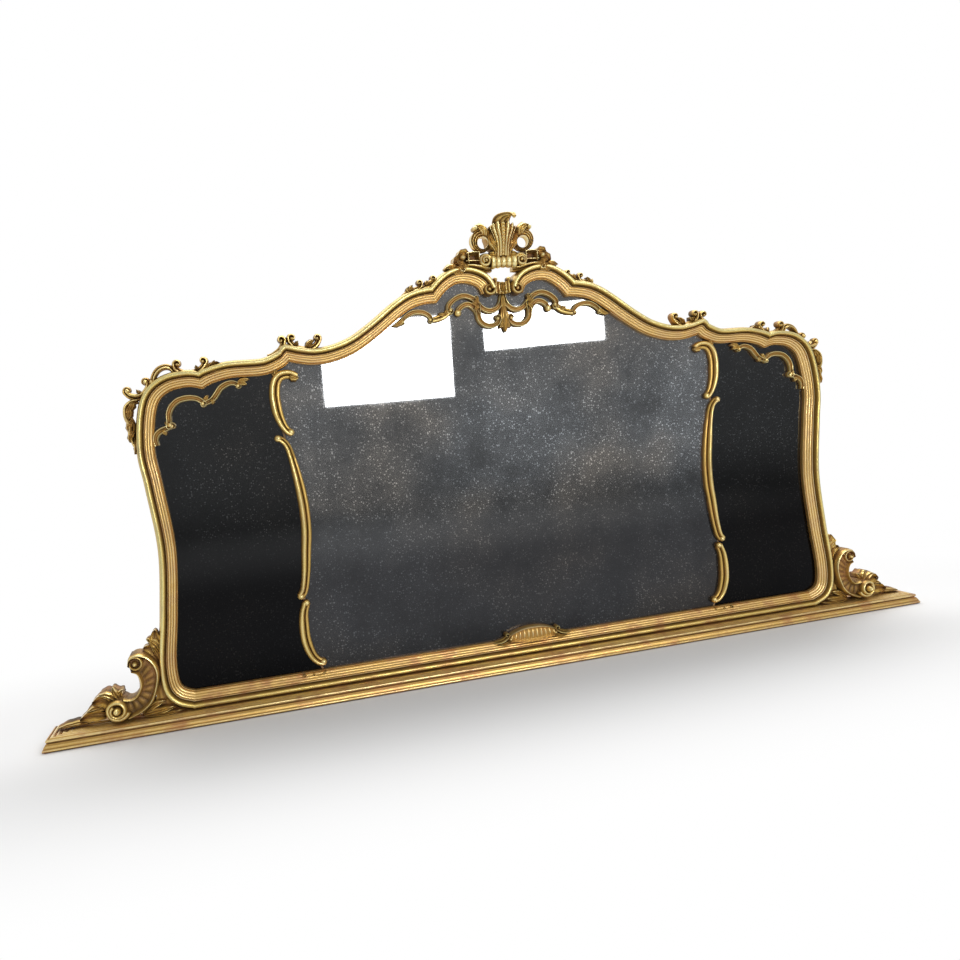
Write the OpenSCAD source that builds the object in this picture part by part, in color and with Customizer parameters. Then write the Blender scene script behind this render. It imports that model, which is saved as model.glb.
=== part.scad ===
// Gilt overmantel mirror: three plates in a swept, scrolled frame that stands on a moulded base.
// X runs along the shelf, Y towards the wall and Z up, in millimetres.
// The origin is the middle of the base's underside, half way between the front of the plinth and the wall.

/* [Base] */
// Length of the base across its moulded ends
base_w = 1700; // [1640:10:1900]
// Distance from the origin to the wall
wall_y = 36; // [32:1:44]
// Distance from the origin to the front nose of the base
nose_y = 40; // [36:1:48]
// Height of the base's flat top
base_h = 22; // [18:0.5:30]
// How far the hollow runs in behind the nose of the base
base_cove = 7.5; // [5:0.5:10]

/* [Frame] */
// Half the width of the opening at its corners
side_x = 633; // [610:1:660]
// How far each stile draws in at its waist
waist_in = 15; // [0:1:25]
// Height of the opening at its shoulders
opening_h = 516; // [470:1:570]
// Distance of each cusp from the middle
cusp_x = 398; // [380:1:415]
// Rise of the cusps above the shoulders
cusp_rise = 32; // [20:1:45]
// Distance of each kink under the crown from the middle
crown_x = 126; // [120:1:140]
// Rise of the crown's kinks above the shoulders
crown_rise = 120; // [100:1:150]

/* [Moulding] */
// Width of the moulding from the sight edge to its outer edge
mould_w = 29; // [27:0.5:33]
// Height of the round bead in front of the glass
bead_h = 28; // [25:0.5:32]
// Height of the sight edge in front of the glass
lip_h = 9; // [6:0.5:11]
// Width of the rebate that holds the plates
rebate_w = 8; // [6:0.5:10]
// Distance from the front of the glass to the wall
glass_to_wall = 20; // [18:0.5:24]

/* [Plates and back] */
// Thickness of the mirror plates
glass_t = 4; // [3:0.5:5]
// Thickness of the backboards and mullions
board_t = 6; // [4:0.5:8]
// Width of the mullions behind the plate joints
mullion_w = 24; // [18:1:32]
// Width of the tongue between two plates
tongue_w = 3; // [2:0.5:5]
// Clearance round the plates and boards
play = 0.4; // [0.2:0.1:0.8]
// Width of the back battens
batten_w = 40; // [30:1:50]
// Height of the lower batten's middle above the sight edge
low_batten_up = 70; // [50:1:110]
// Depth of the upper batten's middle below the shoulders
high_batten_down = 117; // [100:1:140]

/* [Hardware] */
// Thickness of the brass hanging plates
hanger_t = 2; // [1.5:0.5:3]
// Width of a hanging plate
hanger_w = 22; // [18:1:28]
// Radius of the hole that hangs on the wall screw
hanger_hole_r = 4; // [3:0.25:5]
// Distance of each hanging hole from the middle
hanger_x = 592; // [580:1:605]
// Radius of a wood screw's shank
screw_r = 2; // [1.5:0.1:2.5]
// Clearance round a screw in the hole that it passes through
screw_play = 0.2; // [0.1:0.1:0.4]
// Spacing of the screws that hold the base
base_screw_pitch = 280; // [200:10:300]

/* [Ornament] */
// Width of the frame's open scrolls
scroll_w = 9; // [7:0.5:11]
// Height of the outer scrolls in front of the glass
cresting_h = 20; // [16:0.5:26]
// Height of the frets that lie on the glass
fret_h = 9; // [7:0.5:12]
// Width of the frets' strands
fret_w = 8; // [6:0.5:9]
// Width of the dividers
divider_w = 14; // [10:0.5:18]
// Height of the dividers in front of the glass
divider_h = 15; // [12:0.5:20]
// Height of the crest's body in front of the glass
crest_h = 38; // [32:1:46]
// Reach of the crest's top leaf in front of the glass
leaf_reach = 84; // [60:1:95]
// Height of the crest above the crown's kinks
crest_top = 151; // [140:1:165]
// Radius of the brackets' lower volutes
volute_r = 23.5; // [19:0.5:26]
// Height of the brackets' lower volutes in front of the glass
volute_h = 50; // [44:1:52]
// Distance of each lower volute from the opening
volute_out = 102; // [94:1:112]
// Height of the brackets' upper scrolls above the base
upper_scroll_up = 95; // [88:1:104]

/* [Hidden] */
gold = [0.72, 0.55, 0.24];
pine = [0.66, 0.50, 0.33];
brass = [0.72, 0.60, 0.34];
steel = [0.55, 0.55, 0.56];
silvered = [0.75, 0.78, 0.80];

glass_y = wall_y - glass_to_wall;
frame_back = glass_to_wall - hanger_t;
sight_z = base_h + mould_w;
shoulder_z = sight_z + opening_h;
cusp_z = shoulder_z + cusp_rise;
crown_z = shoulder_z + crown_rise;
divider_l = cusp_z - sight_z;
board_back = glass_t + board_t;
batten_t = frame_back - board_back;
screw_head_r = 2 * screw_r;
screw_head_t = 1.5;
bottom_x = side_x - 20;
round_fn = 32;

// ---- curves -------------------------------------------------------------------------------------

function unit(v) = v / norm(v);

// One span of a smooth curve that passes through b and c
function span_point(a, b, c, d, t) =
    0.5 * (2 * b + (c - a) * t + (2 * a - 5 * b + 4 * c - d) * t * t + (3 * b - a - 3 * c + d) * t * t * t);

// A smooth curve through all the points p, with n steps between neighbours
function curve(p, n) =
    let (last = len(p) - 1)
    concat([for (i = [0:last - 1])
        let (a = i > 0 ? p[i - 1] : 2 * p[0] - p[1],
             d = i < last - 1 ? p[i + 2] : 2 * p[last] - p[last - 1])
        for (k = [0:n - 1]) span_point(a, p[i], p[i + 1], d, k / n)], [p[last]]);

function heading(p, i) = unit(p[min(i + 1, len(p) - 1)] - p[max(i - 1, 0)]);

// The direction square to the path, on the side away from the opening
function outward(p, i) = let (t = heading(p, i)) [t[1], -t[0]];

// The direction of a mitre between two pieces, long enough to carry the full width of both
function mitre(a, b) = let (m = unit(a + b)) m / (m * a);

// How much of a mitre's lean is left at distance d from it
function lean_left(d) = max(0, 1 - d / mould_w);

// Directions across a piece, square to its path and turning evenly into the mitres at its two ends
function normals(p, first, last) =
    let (end = len(p) - 1, lean_a = first * heading(p, 0), lean_b = last * heading(p, end))
    [for (i = [0:end]) i == 0 ? first : i == end ? last :
        outward(p, i) + heading(p, i) * (lean_a * lean_left(norm(p[i] - p[0])) + lean_b * lean_left(norm(p[i] - p[end])))];

function beside(p, out, u) = [for (i = [0:len(p) - 1]) p[i] + u * out[i]];

function mirrored(p) = [for (i = [len(p) - 1:-1:0]) [-p[i][0], p[i][1]]];

// ---- sight edge, from the bottom rail up the right stile to the crown ----------------------------

stile_path = curve([
    [bottom_x, sight_z], [side_x - 3, sight_z + 8], [side_x + 4, sight_z + 24], [side_x + 4, sight_z + 62],
    [side_x - 0.4 * waist_in, sight_z + 0.267 * opening_h], [side_x - waist_in, sight_z + 0.48 * opening_h],
    [side_x - 0.4 * waist_in, sight_z + 0.692 * opening_h], [side_x, shoulder_z - 97],
    [side_x - 10, shoulder_z - 31], [side_x - 30, shoulder_z - 6], [side_x - 62, shoulder_z + 1],
    [side_x - 87, shoulder_z - 4]], 3);
shoulder_path = curve([
    [side_x - 87, shoulder_z - 4], [side_x - 100, shoulder_z + 3], [side_x - 121, shoulder_z + 9],
    [side_x - 141, shoulder_z + 11.5], [cusp_x + 52, cusp_z - 20.5], [cusp_x + 31, cusp_z - 17],
    [cusp_x + 10, cusp_z - 8], [cusp_x, cusp_z]], 2);
arch_path = curve([
    [cusp_x, cusp_z], [cusp_x - 20, cusp_z - 5], [cusp_x - 45, cusp_z - 8], [cusp_x - 79, cusp_z - 4],
    [cusp_x - 119, cusp_z + 10], [crown_x + 112, crown_z - 52.5], [crown_x + 72, crown_z - 23],
    [crown_x + 45, crown_z - 7], [crown_x + 20, crown_z - 1], [crown_x, crown_z]], 2);
crown_path = curve([
    [crown_x, crown_z], [crown_x - 9, crown_z + 11], [crown_x - 22, crown_z + 23], [crown_x - 38, crown_z + 32],
    [crown_x - 54, crown_z + 33.5], [crown_x - 69, crown_z + 30], [crown_x - 80, crown_z + 23],
    [crown_x - 86, crown_z + 11]], 3);

function end_of(p) = outward(p, len(p) - 1);
corner_mitre = mitre(end_of(stile_path), outward(shoulder_path, 0));
cusp_mitre = mitre(end_of(shoulder_path), outward(arch_path, 0));
crown_mitre = mitre(end_of(arch_path), outward(crown_path, 0));
stile_out = normals(stile_path, [0, -1], corner_mitre);
shoulder_out = normals(shoulder_path, corner_mitre, cusp_mitre);
arch_out = normals(arch_path, cusp_mitre, crown_mitre);
crown_out = normals(crown_path, crown_mitre, end_of(crown_path));

function all_but_last(p) = [for (i = [0:len(p) - 2]) p[i]];

// Outline of the opening, widened by u
function opening(u) =
    let (right = concat(
        all_but_last(beside(stile_path, stile_out, u)), all_but_last(beside(shoulder_path, shoulder_out, u)),
        all_but_last(beside(arch_path, arch_out, u)), beside(crown_path, crown_out, u)))
    concat(right, mirrored(right));

// ---- moulding -----------------------------------------------------------------------------------

// Section of the moulding: distance from the sight edge, then height in front of the glass.
// It rises in a reeded slope, dips in a quirk, and turns over a round bead to the outer edge.
slope_w = mould_w / 2;
bead_r = (mould_w - slope_w - 5.5) / 2;
bead_u = mould_w - 1.5 - bead_r;
quirk_h = bead_h - 9.5;
mould_section = concat(
    [[0, 0], [0, lip_h], [slope_w, quirk_h + 1.5], [slope_w + 2.5, quirk_h - 1]],
    [[bead_u - bead_r * 0.85, bead_h - 4], [bead_u - bead_r * 0.3, bead_h], [bead_u + bead_r * 0.3, bead_h],
     [bead_u + bead_r * 0.9, bead_h - 5]],
    [[mould_w, bead_h - 16], [mould_w, -frame_back], [rebate_w, -frame_back], [rebate_w, 0]]);

quirk = 3;
outer_back = len(mould_section) - 3;
rebate_corner = len(mould_section) - 1;

// The end of the moulding as two fans of triangles that meet at the quirk
mould_end = concat(
    [for (j = [0:quirk - 1]) [rebate_corner, j, j + 1]],
    [for (j = [quirk:outer_back - 2]) [outer_back, j, j + 1]],
    [[rebate_corner, quirk, outer_back], [rebate_corner, outer_back, outer_back + 1]]);

// A section point's distance from the sight edge, cut off level with the base's top
function trimmed(c, n, u) = n[1] < -0.01 ? min(u, (c[1] - base_h) / -n[1]) : u;

function ring_of(c, n, section) =
    [for (s = section) let (u = trimmed(c, n, s[0])) [c[0] + u * n[0], glass_y - s[1], c[1] + u * n[1]]];

// Skin between neighbouring rings of m points, closed by the triangles of end at both ends
function tube_faces(count, m, end) = concat(
    [for (i = [0:count - 2]) for (j = [0:m - 1])
        let (a = i * m + j, b = i * m + (j + 1) % m)
        for (f = [[a, a + m, b], [b, a + m, b + m]]) f],
    [for (t = end) [t[0], t[1], t[2]]],
    [for (t = end) [for (k = [2:-1:0]) (count - 1) * m + t[k]]]);

module moulding(path, out) {
    polyhedron(
        points = [for (i = [0:len(path) - 1]) each ring_of(path[i], out[i], mould_section)],
        faces = tube_faces(len(path), len(mould_section), mould_end));
}

// Draws the children on the right, or mirrored on the left
module on_side(side) {
    mirror([side < 0 ? 1 : 0, 0, 0]) children();
}

// Stands a flat outline upright, from height h0 to height h1 in front of the glass
module upright(h0, h1) {
    translate([0, glass_y - h0, 0]) rotate([90, 0, 0]) linear_extrude(h1 - h0) children();
}

// ---- carving ------------------------------------------------------------------------------------

function ease(t) = t <= 0 ? 0 : t >= 1 ? 1 : t * t * (3 - 2 * t);

function swell(t, thin) =
    (thin[0] + (1 - thin[0]) * ease(t / 0.4)) * (thin[1] + (1 - thin[1]) * ease((1 - t) / 0.4));

// A half-round strand along the points, of width w and height h, thinner at its ends
module strand(points, w, h, thin = [0.6, 0.6], foot = 0, steps = 2) {
    path = curve(points, steps);
    last = len(path) - 1;
    arc = [for (a = [0:45:180]) [-cos(a), sin(a)]];
    skin = [for (i = [0:last])
        let (s = swell(i / last, thin), n = outward(path, i))
        for (q = arc)
            [path[i][0] + q[0] * n[0] * s * w / 2, glass_y - foot - q[1] * (h - foot) * (0.5 + 0.5 * s),
             path[i][1] + q[0] * n[1] * s * w / 2]];
    polyhedron(points = skin, faces = tube_faces(last + 1, len(arc), [for (j = [1:len(arc) - 2]) [0, j, j + 1]]));
}

// A round boss with a domed face
module boss(p, r, h, foot = 0) {
    hull() {
        translate([p[0], glass_y - foot, p[1]]) rotate([90, 0, 0]) cylinder(r = r, h = 0.7 * (h - foot), $fn = 8);
        translate([p[0], glass_y - foot, p[1]]) rotate([90, 0, 0]) cylinder(r = 0.6 * r, h = h - foot, $fn = 8);
    }
}

// A leaf lobe that is widest near its root and falls to its tip
module lobe(root, tip, r, h, foot = 0) {
    middle = root + 0.45 * (tip - root);
    hull() {
        for (q = [[root, 0.7, 0.75], [middle, 1, 1], [tip, 0.3, 0.6]])
            translate([q[0][0], glass_y - foot, q[0][1]]) rotate([90, 0, 0])
                cylinder(r1 = q[1] * r, r2 = 0.55 * q[1] * r, h = q[2] * (h - foot), $fn = 5);
    }
}

module leaf_spray(root, tips, r, h, foot = 0) {
    for (t = tips) lobe(root, root + t, r, h, foot);
}

// ---- base ---------------------------------------------------------------------------------------

// Profile of the base: distance in from the nose, and height as a share of the base's height
base_profile = [for (q = [
    [1.5, 0], [0, 0.07], [0, 0.23], [1.8, 0.3], [2.2, 0.37], [3.4, 0.5], [5.2, 0.59], [base_cove, 0.64],
    [base_cove, 0.7], [base_cove - 1.5, 0.75], [base_cove - 2, 0.84], [base_cove - 1, 0.94], [base_cove + 1.5, 1]])
    [q[0], q[1] * base_h]];
base_screw_x = [for (i = [-2:2]) i * base_screw_pitch];
base_screw_y = glass_y + frame_back / 2;
base_screw_l = base_h + 16;

// A countersunk screw with its flat face at the origin and its point along +Z
module wood_screw(l) {
    difference() {
        union() {
            cylinder(r1 = screw_head_r, r2 = screw_r, h = screw_head_t, $fn = round_fn);
            cylinder(r = screw_r, h = l, $fn = round_fn);
        }
        translate([-screw_head_r, -screw_r / 4, -1]) cube([2 * screw_head_r, screw_r / 2, 1.8]);
    }
}

// The countersunk hole that a wood screw passes through
module screw_hole(l) {
    cylinder(r1 = screw_head_r, r2 = screw_r + screw_play, h = screw_head_t, $fn = round_fn);
    cylinder(r = screw_r + screw_play, h = l, $fn = round_fn);
}

module at_base_screws() {
    for (x = base_screw_x) translate([x, base_screw_y, 0]) children();
}

module base_plinth() {
    color(gold) difference() {
        intersection() {
            rotate([90, 0, 90]) linear_extrude(base_w, center = true)
                polygon(concat([for (q = base_profile) [q[0] - nose_y, q[1]]], [[wall_y, base_h], [wall_y, 0]]));
            translate([0, wall_y, 0]) rotate([90, 0, 0]) linear_extrude(wall_y + nose_y)
                polygon(concat([for (q = base_profile) [base_w / 2 - q[0], q[1]]],
                    mirrored([for (q = base_profile) [base_w / 2 - q[0], q[1]]])));
        }
        at_base_screws() screw_hole(base_h + 1);
    }
}

module base_screws() {
    color(steel) at_base_screws() wood_screw(base_screw_l);
}

// ---- frame --------------------------------------------------------------------------------------

module bottom_rail() {
    color(gold) difference() {
        rotate([90, 0, 90]) linear_extrude(2 * bottom_x, center = true)
            polygon([for (s = mould_section) [glass_y - s[1], sight_z - s[0]]]);
        at_base_screws() cylinder(r = screw_r, h = base_screw_l, $fn = round_fn);
    }
}

module stile(side) {
    color(gold) difference() {
        on_side(side) moulding(stile_path, stile_out);
        on_side(side) at_hanger_screw(stile_screw_x) cylinder(r = screw_r, h = hanger_screw_l, $fn = round_fn);
    }
}

module shoulder_rail(side) {
    color(gold) on_side(side) moulding(shoulder_path, shoulder_out);
}

module arch_rail(side) {
    color(gold) on_side(side) moulding(arch_path, arch_out);
}

// The eye of the volute in which each crown rail ends
crown_end = crown_path[len(crown_path) - 1];
crown_eye = [crown_end[0] - 13, crown_end[1] + 8];
crown_eye_r = 10;

module crown_rail(side) {
    color(gold) on_side(side) union() {
        moulding(crown_path, crown_out);
        boss(crown_eye, crown_eye_r, bead_h);
    }
}

link_w = 2 * (crown_end[0] - mould_w) + 6;
link_low_z = crown_end[1] + 0.5;
link_h = 22;

module crown_link() {
    color(gold) difference() {
        union() {
            upright(-frame_back, link_h - 8) translate([-link_w / 2, link_low_z]) square([link_w, link_h]);
            for (i = [-3:3]) lobe([i * 1.2, link_low_z + link_h - 3], [i * 3.4, link_low_z + 3], 3, link_h);
            lobe([0, link_low_z + 8], [0, link_low_z + link_h + 2], 8, link_h - 2);
        }
        for (side = [-1, 1]) on_side(side) {
            moulding(crown_path, crown_out);
            boss(crown_eye, crown_eye_r, bead_h);
        }
        upright(-board_back, 0) opening_outline();
    }
}

// ---- dividers, plates and back ------------------------------------------------------------------

function up_divider(share) = sight_z + share * divider_l;

// Line of the joint between the centre plate and the right plate, from below the opening to above it
joint_path = curve([
    [cusp_x - 14, sight_z - 25], [cusp_x - 2, sight_z + 3], [cusp_x + 12, sight_z + 27],
    [cusp_x + 20, sight_z + 56], [cusp_x + 22, sight_z + 88], [cusp_x + 15, sight_z + 140],
    [cusp_x + 9, up_divider(0.327)], [cusp_x + 5, up_divider(0.394)], [cusp_x + 1, up_divider(0.46)],
    [cusp_x + 1, up_divider(0.54)], [cusp_x + 6, up_divider(0.624)], [cusp_x + 13, cusp_z - 168],
    [cusp_x + 20, cusp_z - 142], [cusp_x + 22, cusp_z - 124], [cusp_x + 29, cusp_z - 99],
    [cusp_x + 33, cusp_z - 74], [cusp_x + 31, cusp_z - 48], [cusp_x + 22, cusp_z - 3],
    [cusp_x + 18, cusp_z + 25]], 2);
joint_out = [for (i = [0:len(joint_path) - 1]) outward(joint_path, i)];
far_right = side_x + 2 * mould_w;

module opening_outline() {
    polygon(opening(rebate_w - play));
}

function reversed(p) = [for (i = [len(p) - 1:-1:0]) p[i]];

// Outline of a side piece or of the centre piece whose edges lie half_w from the joints
module pane(side, half_w) {
    intersection() {
        opening_outline();
        if (side == 0) {
            edge = concat(beside(joint_path, joint_out, -half_w), [[cusp_x, crown_z + crown_rise]]);
            polygon(concat(edge, mirrored(edge)));
        } else {
            edge = concat(beside(joint_path, joint_out, half_w), [[far_right, crown_z], [far_right, 0]]);
            polygon(side > 0 ? edge : mirrored(edge));
        }
    }
}

// Outline of what fills a joint, w wide
module joint_strip(side, w) {
    strip = concat(beside(joint_path, joint_out, w / 2), reversed(beside(joint_path, joint_out, -w / 2)));
    intersection() {
        opening_outline();
        polygon(side > 0 ? strip : mirrored(strip));
    }
}

module mirror_plate(side) {
    color(silvered) upright(-glass_t, 0) pane(side, tongue_w / 2 + play);
}

module backboard(side) {
    color(pine) upright(-board_back, -glass_t) pane(side, mullion_w / 2 + play);
}

low_batten_z = sight_z + low_batten_up;
high_batten_z = shoulder_z - high_batten_down;

function joint_x(z) = lookup(z, [for (q = joint_path) [q[1], q[0]]]);

batten_screw_l = batten_t + board_t - 2;

// Screws that pass through the battens into the mullions, from behind
module at_batten_screws() {
    for (z = [low_batten_z, high_batten_z]) for (side = [-1, 1])
        translate([side * joint_x(z), glass_y + frame_back, z]) rotate([90, 0, 0]) children();
}

module mullion(side) {
    color(pine) difference() {
        union() {
            upright(-board_back, -glass_t) joint_strip(side, mullion_w);
            upright(-glass_t, 0) joint_strip(side, tongue_w);
        }
        at_batten_screws() cylinder(r = screw_r, h = batten_screw_l, $fn = round_fn);
    }
}

module batten(z) {
    color(pine) difference() {
        upright(-frame_back, -board_back) intersection() {
            opening_outline();
            translate([-side_x - mould_w, z - batten_w / 2]) square([2 * (side_x + mould_w), batten_w]);
        }
        at_batten_screws() screw_hole(batten_t + 1);
        if (z == high_batten_z) for (side = [-1, 1]) on_side(side) {
            translate([hanger_x, glass_y + frame_back + 1, high_batten_z]) rotate([90, 0, 0])
                cylinder(r = 2 * hanger_hole_r, h = batten_t - 1, $fn = round_fn);
            for (x = batten_hanger_screw_x) at_hanger_screw(x) cylinder(r = screw_r, h = hanger_screw_l, $fn = round_fn);
        }
    }
}

module batten_screws() {
    color(steel) at_batten_screws() wood_screw(batten_screw_l);
}

// ---- hanging plates -----------------------------------------------------------------------------

// A hanging plate runs from inside its hole, across the end of the batten, on to the back of the stile
hanger_start = hanger_x - 13;
hanger_end = side_x + rebate_w + 12;
hanger_l = hanger_end - hanger_start;
stile_screw_x = hanger_end - 6;
batten_hanger_screw_x = [for (share = [1 / 3, 2 / 3]) hanger_x + share * (stile_screw_x - hanger_x)];
hanger_screw_l = hanger_t + batten_t - 2;

module at_hanger_screw(x) {
    translate([x, wall_y, high_batten_z]) rotate([90, 0, 0]) children();
}

module hanging_plate(side) {
    color(brass) on_side(side) difference() {
        translate([hanger_start, wall_y - hanger_t, high_batten_z - hanger_w / 2]) cube([hanger_l, hanger_t, hanger_w]);
        at_hanger_screw(hanger_x) translate([0, 0, -1]) cylinder(r = hanger_hole_r, h = hanger_t + 2, $fn = round_fn);
        for (x = concat([stile_screw_x], batten_hanger_screw_x)) at_hanger_screw(x) screw_hole(hanger_t + 1);
    }
}

module hanger_screws() {
    color(steel) for (side = [-1, 1]) on_side(side)
        for (x = concat([stile_screw_x], batten_hanger_screw_x)) at_hanger_screw(x) wood_screw(hanger_screw_l);
}

// ---- divider carving ----------------------------------------------------------------------------

module divider_top(side) {
    color(gold) on_side(side) {
        strand([[cusp_x + 1, cusp_z - 23], [cusp_x + 21, cusp_z - 30], [cusp_x + 31, cusp_z - 47],
            [cusp_x + 33, cusp_z - 73], [cusp_x + 29, cusp_z - 99], [cusp_x + 20, cusp_z - 117],
            [cusp_x + 8, cusp_z - 125]], divider_w, divider_h, [0.5, 0.5], 0, 3);
        boss([cusp_x + 3, cusp_z - 24], 6.5, divider_h);
        boss([cusp_x + 9, cusp_z - 123], 5.5, divider_h);
        for (t = [[10, 4], [14, -1], [12, 8]]) lobe([cusp_x + 12, cusp_z - 27], [cusp_x + 12, cusp_z - 27] - t, 4, divider_h - 4);
        for (t = [[9, 12], [13, 6], [3, 13]]) lobe([cusp_x + 20, cusp_z - 30], [cusp_x + 20, cusp_z - 30] + t, 3.5, divider_h - 4);
    }
}

module divider_middle(side) {
    color(gold) on_side(side) {
        strand([[cusp_x + 35, cusp_z - 130], [cusp_x + 24, cusp_z - 139], [cusp_x + 13, cusp_z - 168],
            [cusp_x + 6, up_divider(0.624)], [cusp_x + 1, up_divider(0.54)], [cusp_x + 1, up_divider(0.46)],
            [cusp_x + 5, up_divider(0.394)], [cusp_x + 9, up_divider(0.327)], [cusp_x + 14, sight_z + 146],
            [cusp_x + 16, sight_z + 134]], divider_w, divider_h, [0.5, 0.8], 0, 3);
        boss([cusp_x + 34, cusp_z - 130], 5.5, divider_h);
        boss([cusp_x + 27, sight_z + 134], 6, divider_h);
        boss([cusp_x + 7, sight_z + 130], 6, divider_h);
    }
}

module divider_foot(side) {
    color(gold) on_side(side) difference() {
        union() {
            strand([[cusp_x + 17, sight_z + 121], [cusp_x + 22, sight_z + 88], [cusp_x + 21, sight_z + 56],
                [cusp_x + 14, sight_z + 30], [cusp_x + 3, sight_z + 15], [cusp_x - 7, sight_z + 13]],
                divider_w, divider_h, [0.7, 0.6], 0, 3);
            boss([cusp_x - 7, sight_z + 14], 6.5, divider_h);
            boss([cusp_x - 5, sight_z + 3], 5, divider_h);
        }
        bottom_rail_block();
    }
}

// The part of the bottom rail that carvings near the opening are scribed to
module bottom_rail_block() {
    rotate([90, 0, 90]) linear_extrude(2 * bottom_x, center = true)
        polygon([for (s = mould_section) [glass_y - s[1], sight_z - s[0]]]);
}

module foot_curls(side) {
    curl_z = sight_z - 5;
    color(gold) on_side(side) difference() {
        union() for (x = [cusp_x + 17, cusp_x + 32]) {
            boss([x, curl_z], 5, lip_h + 8);
            lobe([x, curl_z], [x + (x > cusp_x + 20 ? 16 : -16), curl_z - 3], 5, lip_h + 6);
        }
        bottom_rail_block();
    }
}

// ---- cresting and frets -------------------------------------------------------------------------

corner = [side_x, shoulder_z];
cusp = [cusp_x, cusp_z];
kink = [crown_x, crown_z];

function from(p, list) = [for (q = list) p + q];

module corner_cresting(side) {
    color(gold) on_side(side) difference() {
        union() {
            strand(from(corner, [[24, -15], [34, -22], [37, -35], [33, -55], [36, -73], [28, -86]]),
                scroll_w, cresting_h, [0.6, 0.5]);
            strand(from(corner, [[38, 5], [32, -6], [24, -11], [13, -10], [2, -4], [-2, 6], [0, 17], [6, 22]]),
                scroll_w, cresting_h, [0.7, 0.7]);
            strand(from(corner, [[-10, 14], [-11, 22], [-14, 31], [-22, 39], [-31, 41], [-40, 38], [-45, 26]]),
                scroll_w, cresting_h, [0.7, 0.7]);
            strand(from(corner, [[-54, 46], [-49, 38], [-56, 30], [-68, 26], [-82, 28], [-92, 35], [-90, 46]]),
                scroll_w, cresting_h, [0.7, 0.7]);
            boss(corner + [36, 3], 5.5, cresting_h);
            boss(corner + [5, 21], 5, cresting_h);
            boss(corner + [-53, 45], 5, cresting_h);
            boss(corner + [-90, 46], 5, cresting_h);
            leaf_spray(corner + [-104, 28], [[4, 16], [-8, 15], [-22, 7]], 6, cresting_h);
            leaf_spray(corner + [30, -70], [[9, 10], [8, -14]], 5, cresting_h);
        }
        moulding(stile_path, stile_out);
        moulding(shoulder_path, shoulder_out);
    }
}

module corner_fret(side) {
    color(gold) on_side(side) difference() {
        union() {
            strand(from(corner, [[-3, -92], [-6, -79], [-14, -70], [-25, -66], [-29, -60]]), fret_w, fret_h);
            strand(from(corner, [[-26, -63], [-31, -50], [-33, -35], [-41, -24], [-56, -18], [-70, -17], [-80, -22],
                [-86, -29]]), fret_w, fret_h);
            strand(from(corner, [[-82, -27], [-94, -28], [-102, -19], [-110, -7], [-121, 0], [-133, 2], [-146, 0]]),
                fret_w, fret_h);
            boss(corner + [-5, -90], 5, fret_h);
            boss(corner + [-28, -61], 5.5, fret_h + 1);
            boss(corner + [-85, -29], 5.5, fret_h + 1);
            boss(corner + [-146, 0], 5, fret_h);
            leaf_spray(corner + [-144, 0], [[-17, 7], [-15, -2]], 4, fret_h);
            leaf_spray(corner + [-30, -62], [[10, 7], [-8, -6]], 4, fret_h);
        }
        moulding(stile_path, stile_out);
        moulding(shoulder_path, shoulder_out);
    }
}

module cusp_scroll(side) {
    color(gold) on_side(side) difference() {
        union() {
            strand(from(cusp, [[30, 18], [20, 21], [12, 28], [8, 38]]), scroll_w, cresting_h, [0.5, 0.8]);
            strand(from(cusp, [[-5, 41], [-13, 30], [-26, 25], [-41, 25], [-52, 30], [-49, 38]]),
                scroll_w, cresting_h, [0.7, 0.7]);
            boss(cusp + [8, 38], 5.5, cresting_h);
            boss(cusp + [-6, 41], 5, cresting_h);
            boss(cusp + [-49, 38], 5, cresting_h);
            leaf_spray(cusp + [-37, 25], [[-1, 10], [-9, 9], [8, 7]], 4, cresting_h - 3);
            leaf_spray(cusp + [6, 24], [[10, 4], [16, 0]], 5, cresting_h - 3);
        }
        moulding(shoulder_path, shoulder_out);
        moulding(arch_path, arch_out);
    }
}

module arch_sprig(side) {
    color(gold) on_side(side) difference() {
        union() {
            strand(from(kink, [[62, 14], [46, 23], [28, 29], [14, 34], [-2, 41]]), scroll_w, cresting_h, [0.6, 0.6]);
            strand(from(kink, [[24, 26], [29, 33], [31, 39]]), 6, cresting_h - 2);
            strand(from(kink, [[2, 34], [6, 42], [7, 49]]), 6, cresting_h - 2);
            boss(kink + [31, 38], 4, cresting_h - 2);
            boss(kink + [7, 48], 3.5, cresting_h - 2);
            leaf_spray(kink + [48, 18], [[5, 10], [-6, 13], [14, 2]], 5, cresting_h - 2);
            leaf_spray(kink + [8, 32], [[-8, 8], [-10, 2], [6, 6]], 5, cresting_h - 2);
        }
        moulding(arch_path, arch_out);
        moulding(crown_path, crown_out);
    }
}

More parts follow.
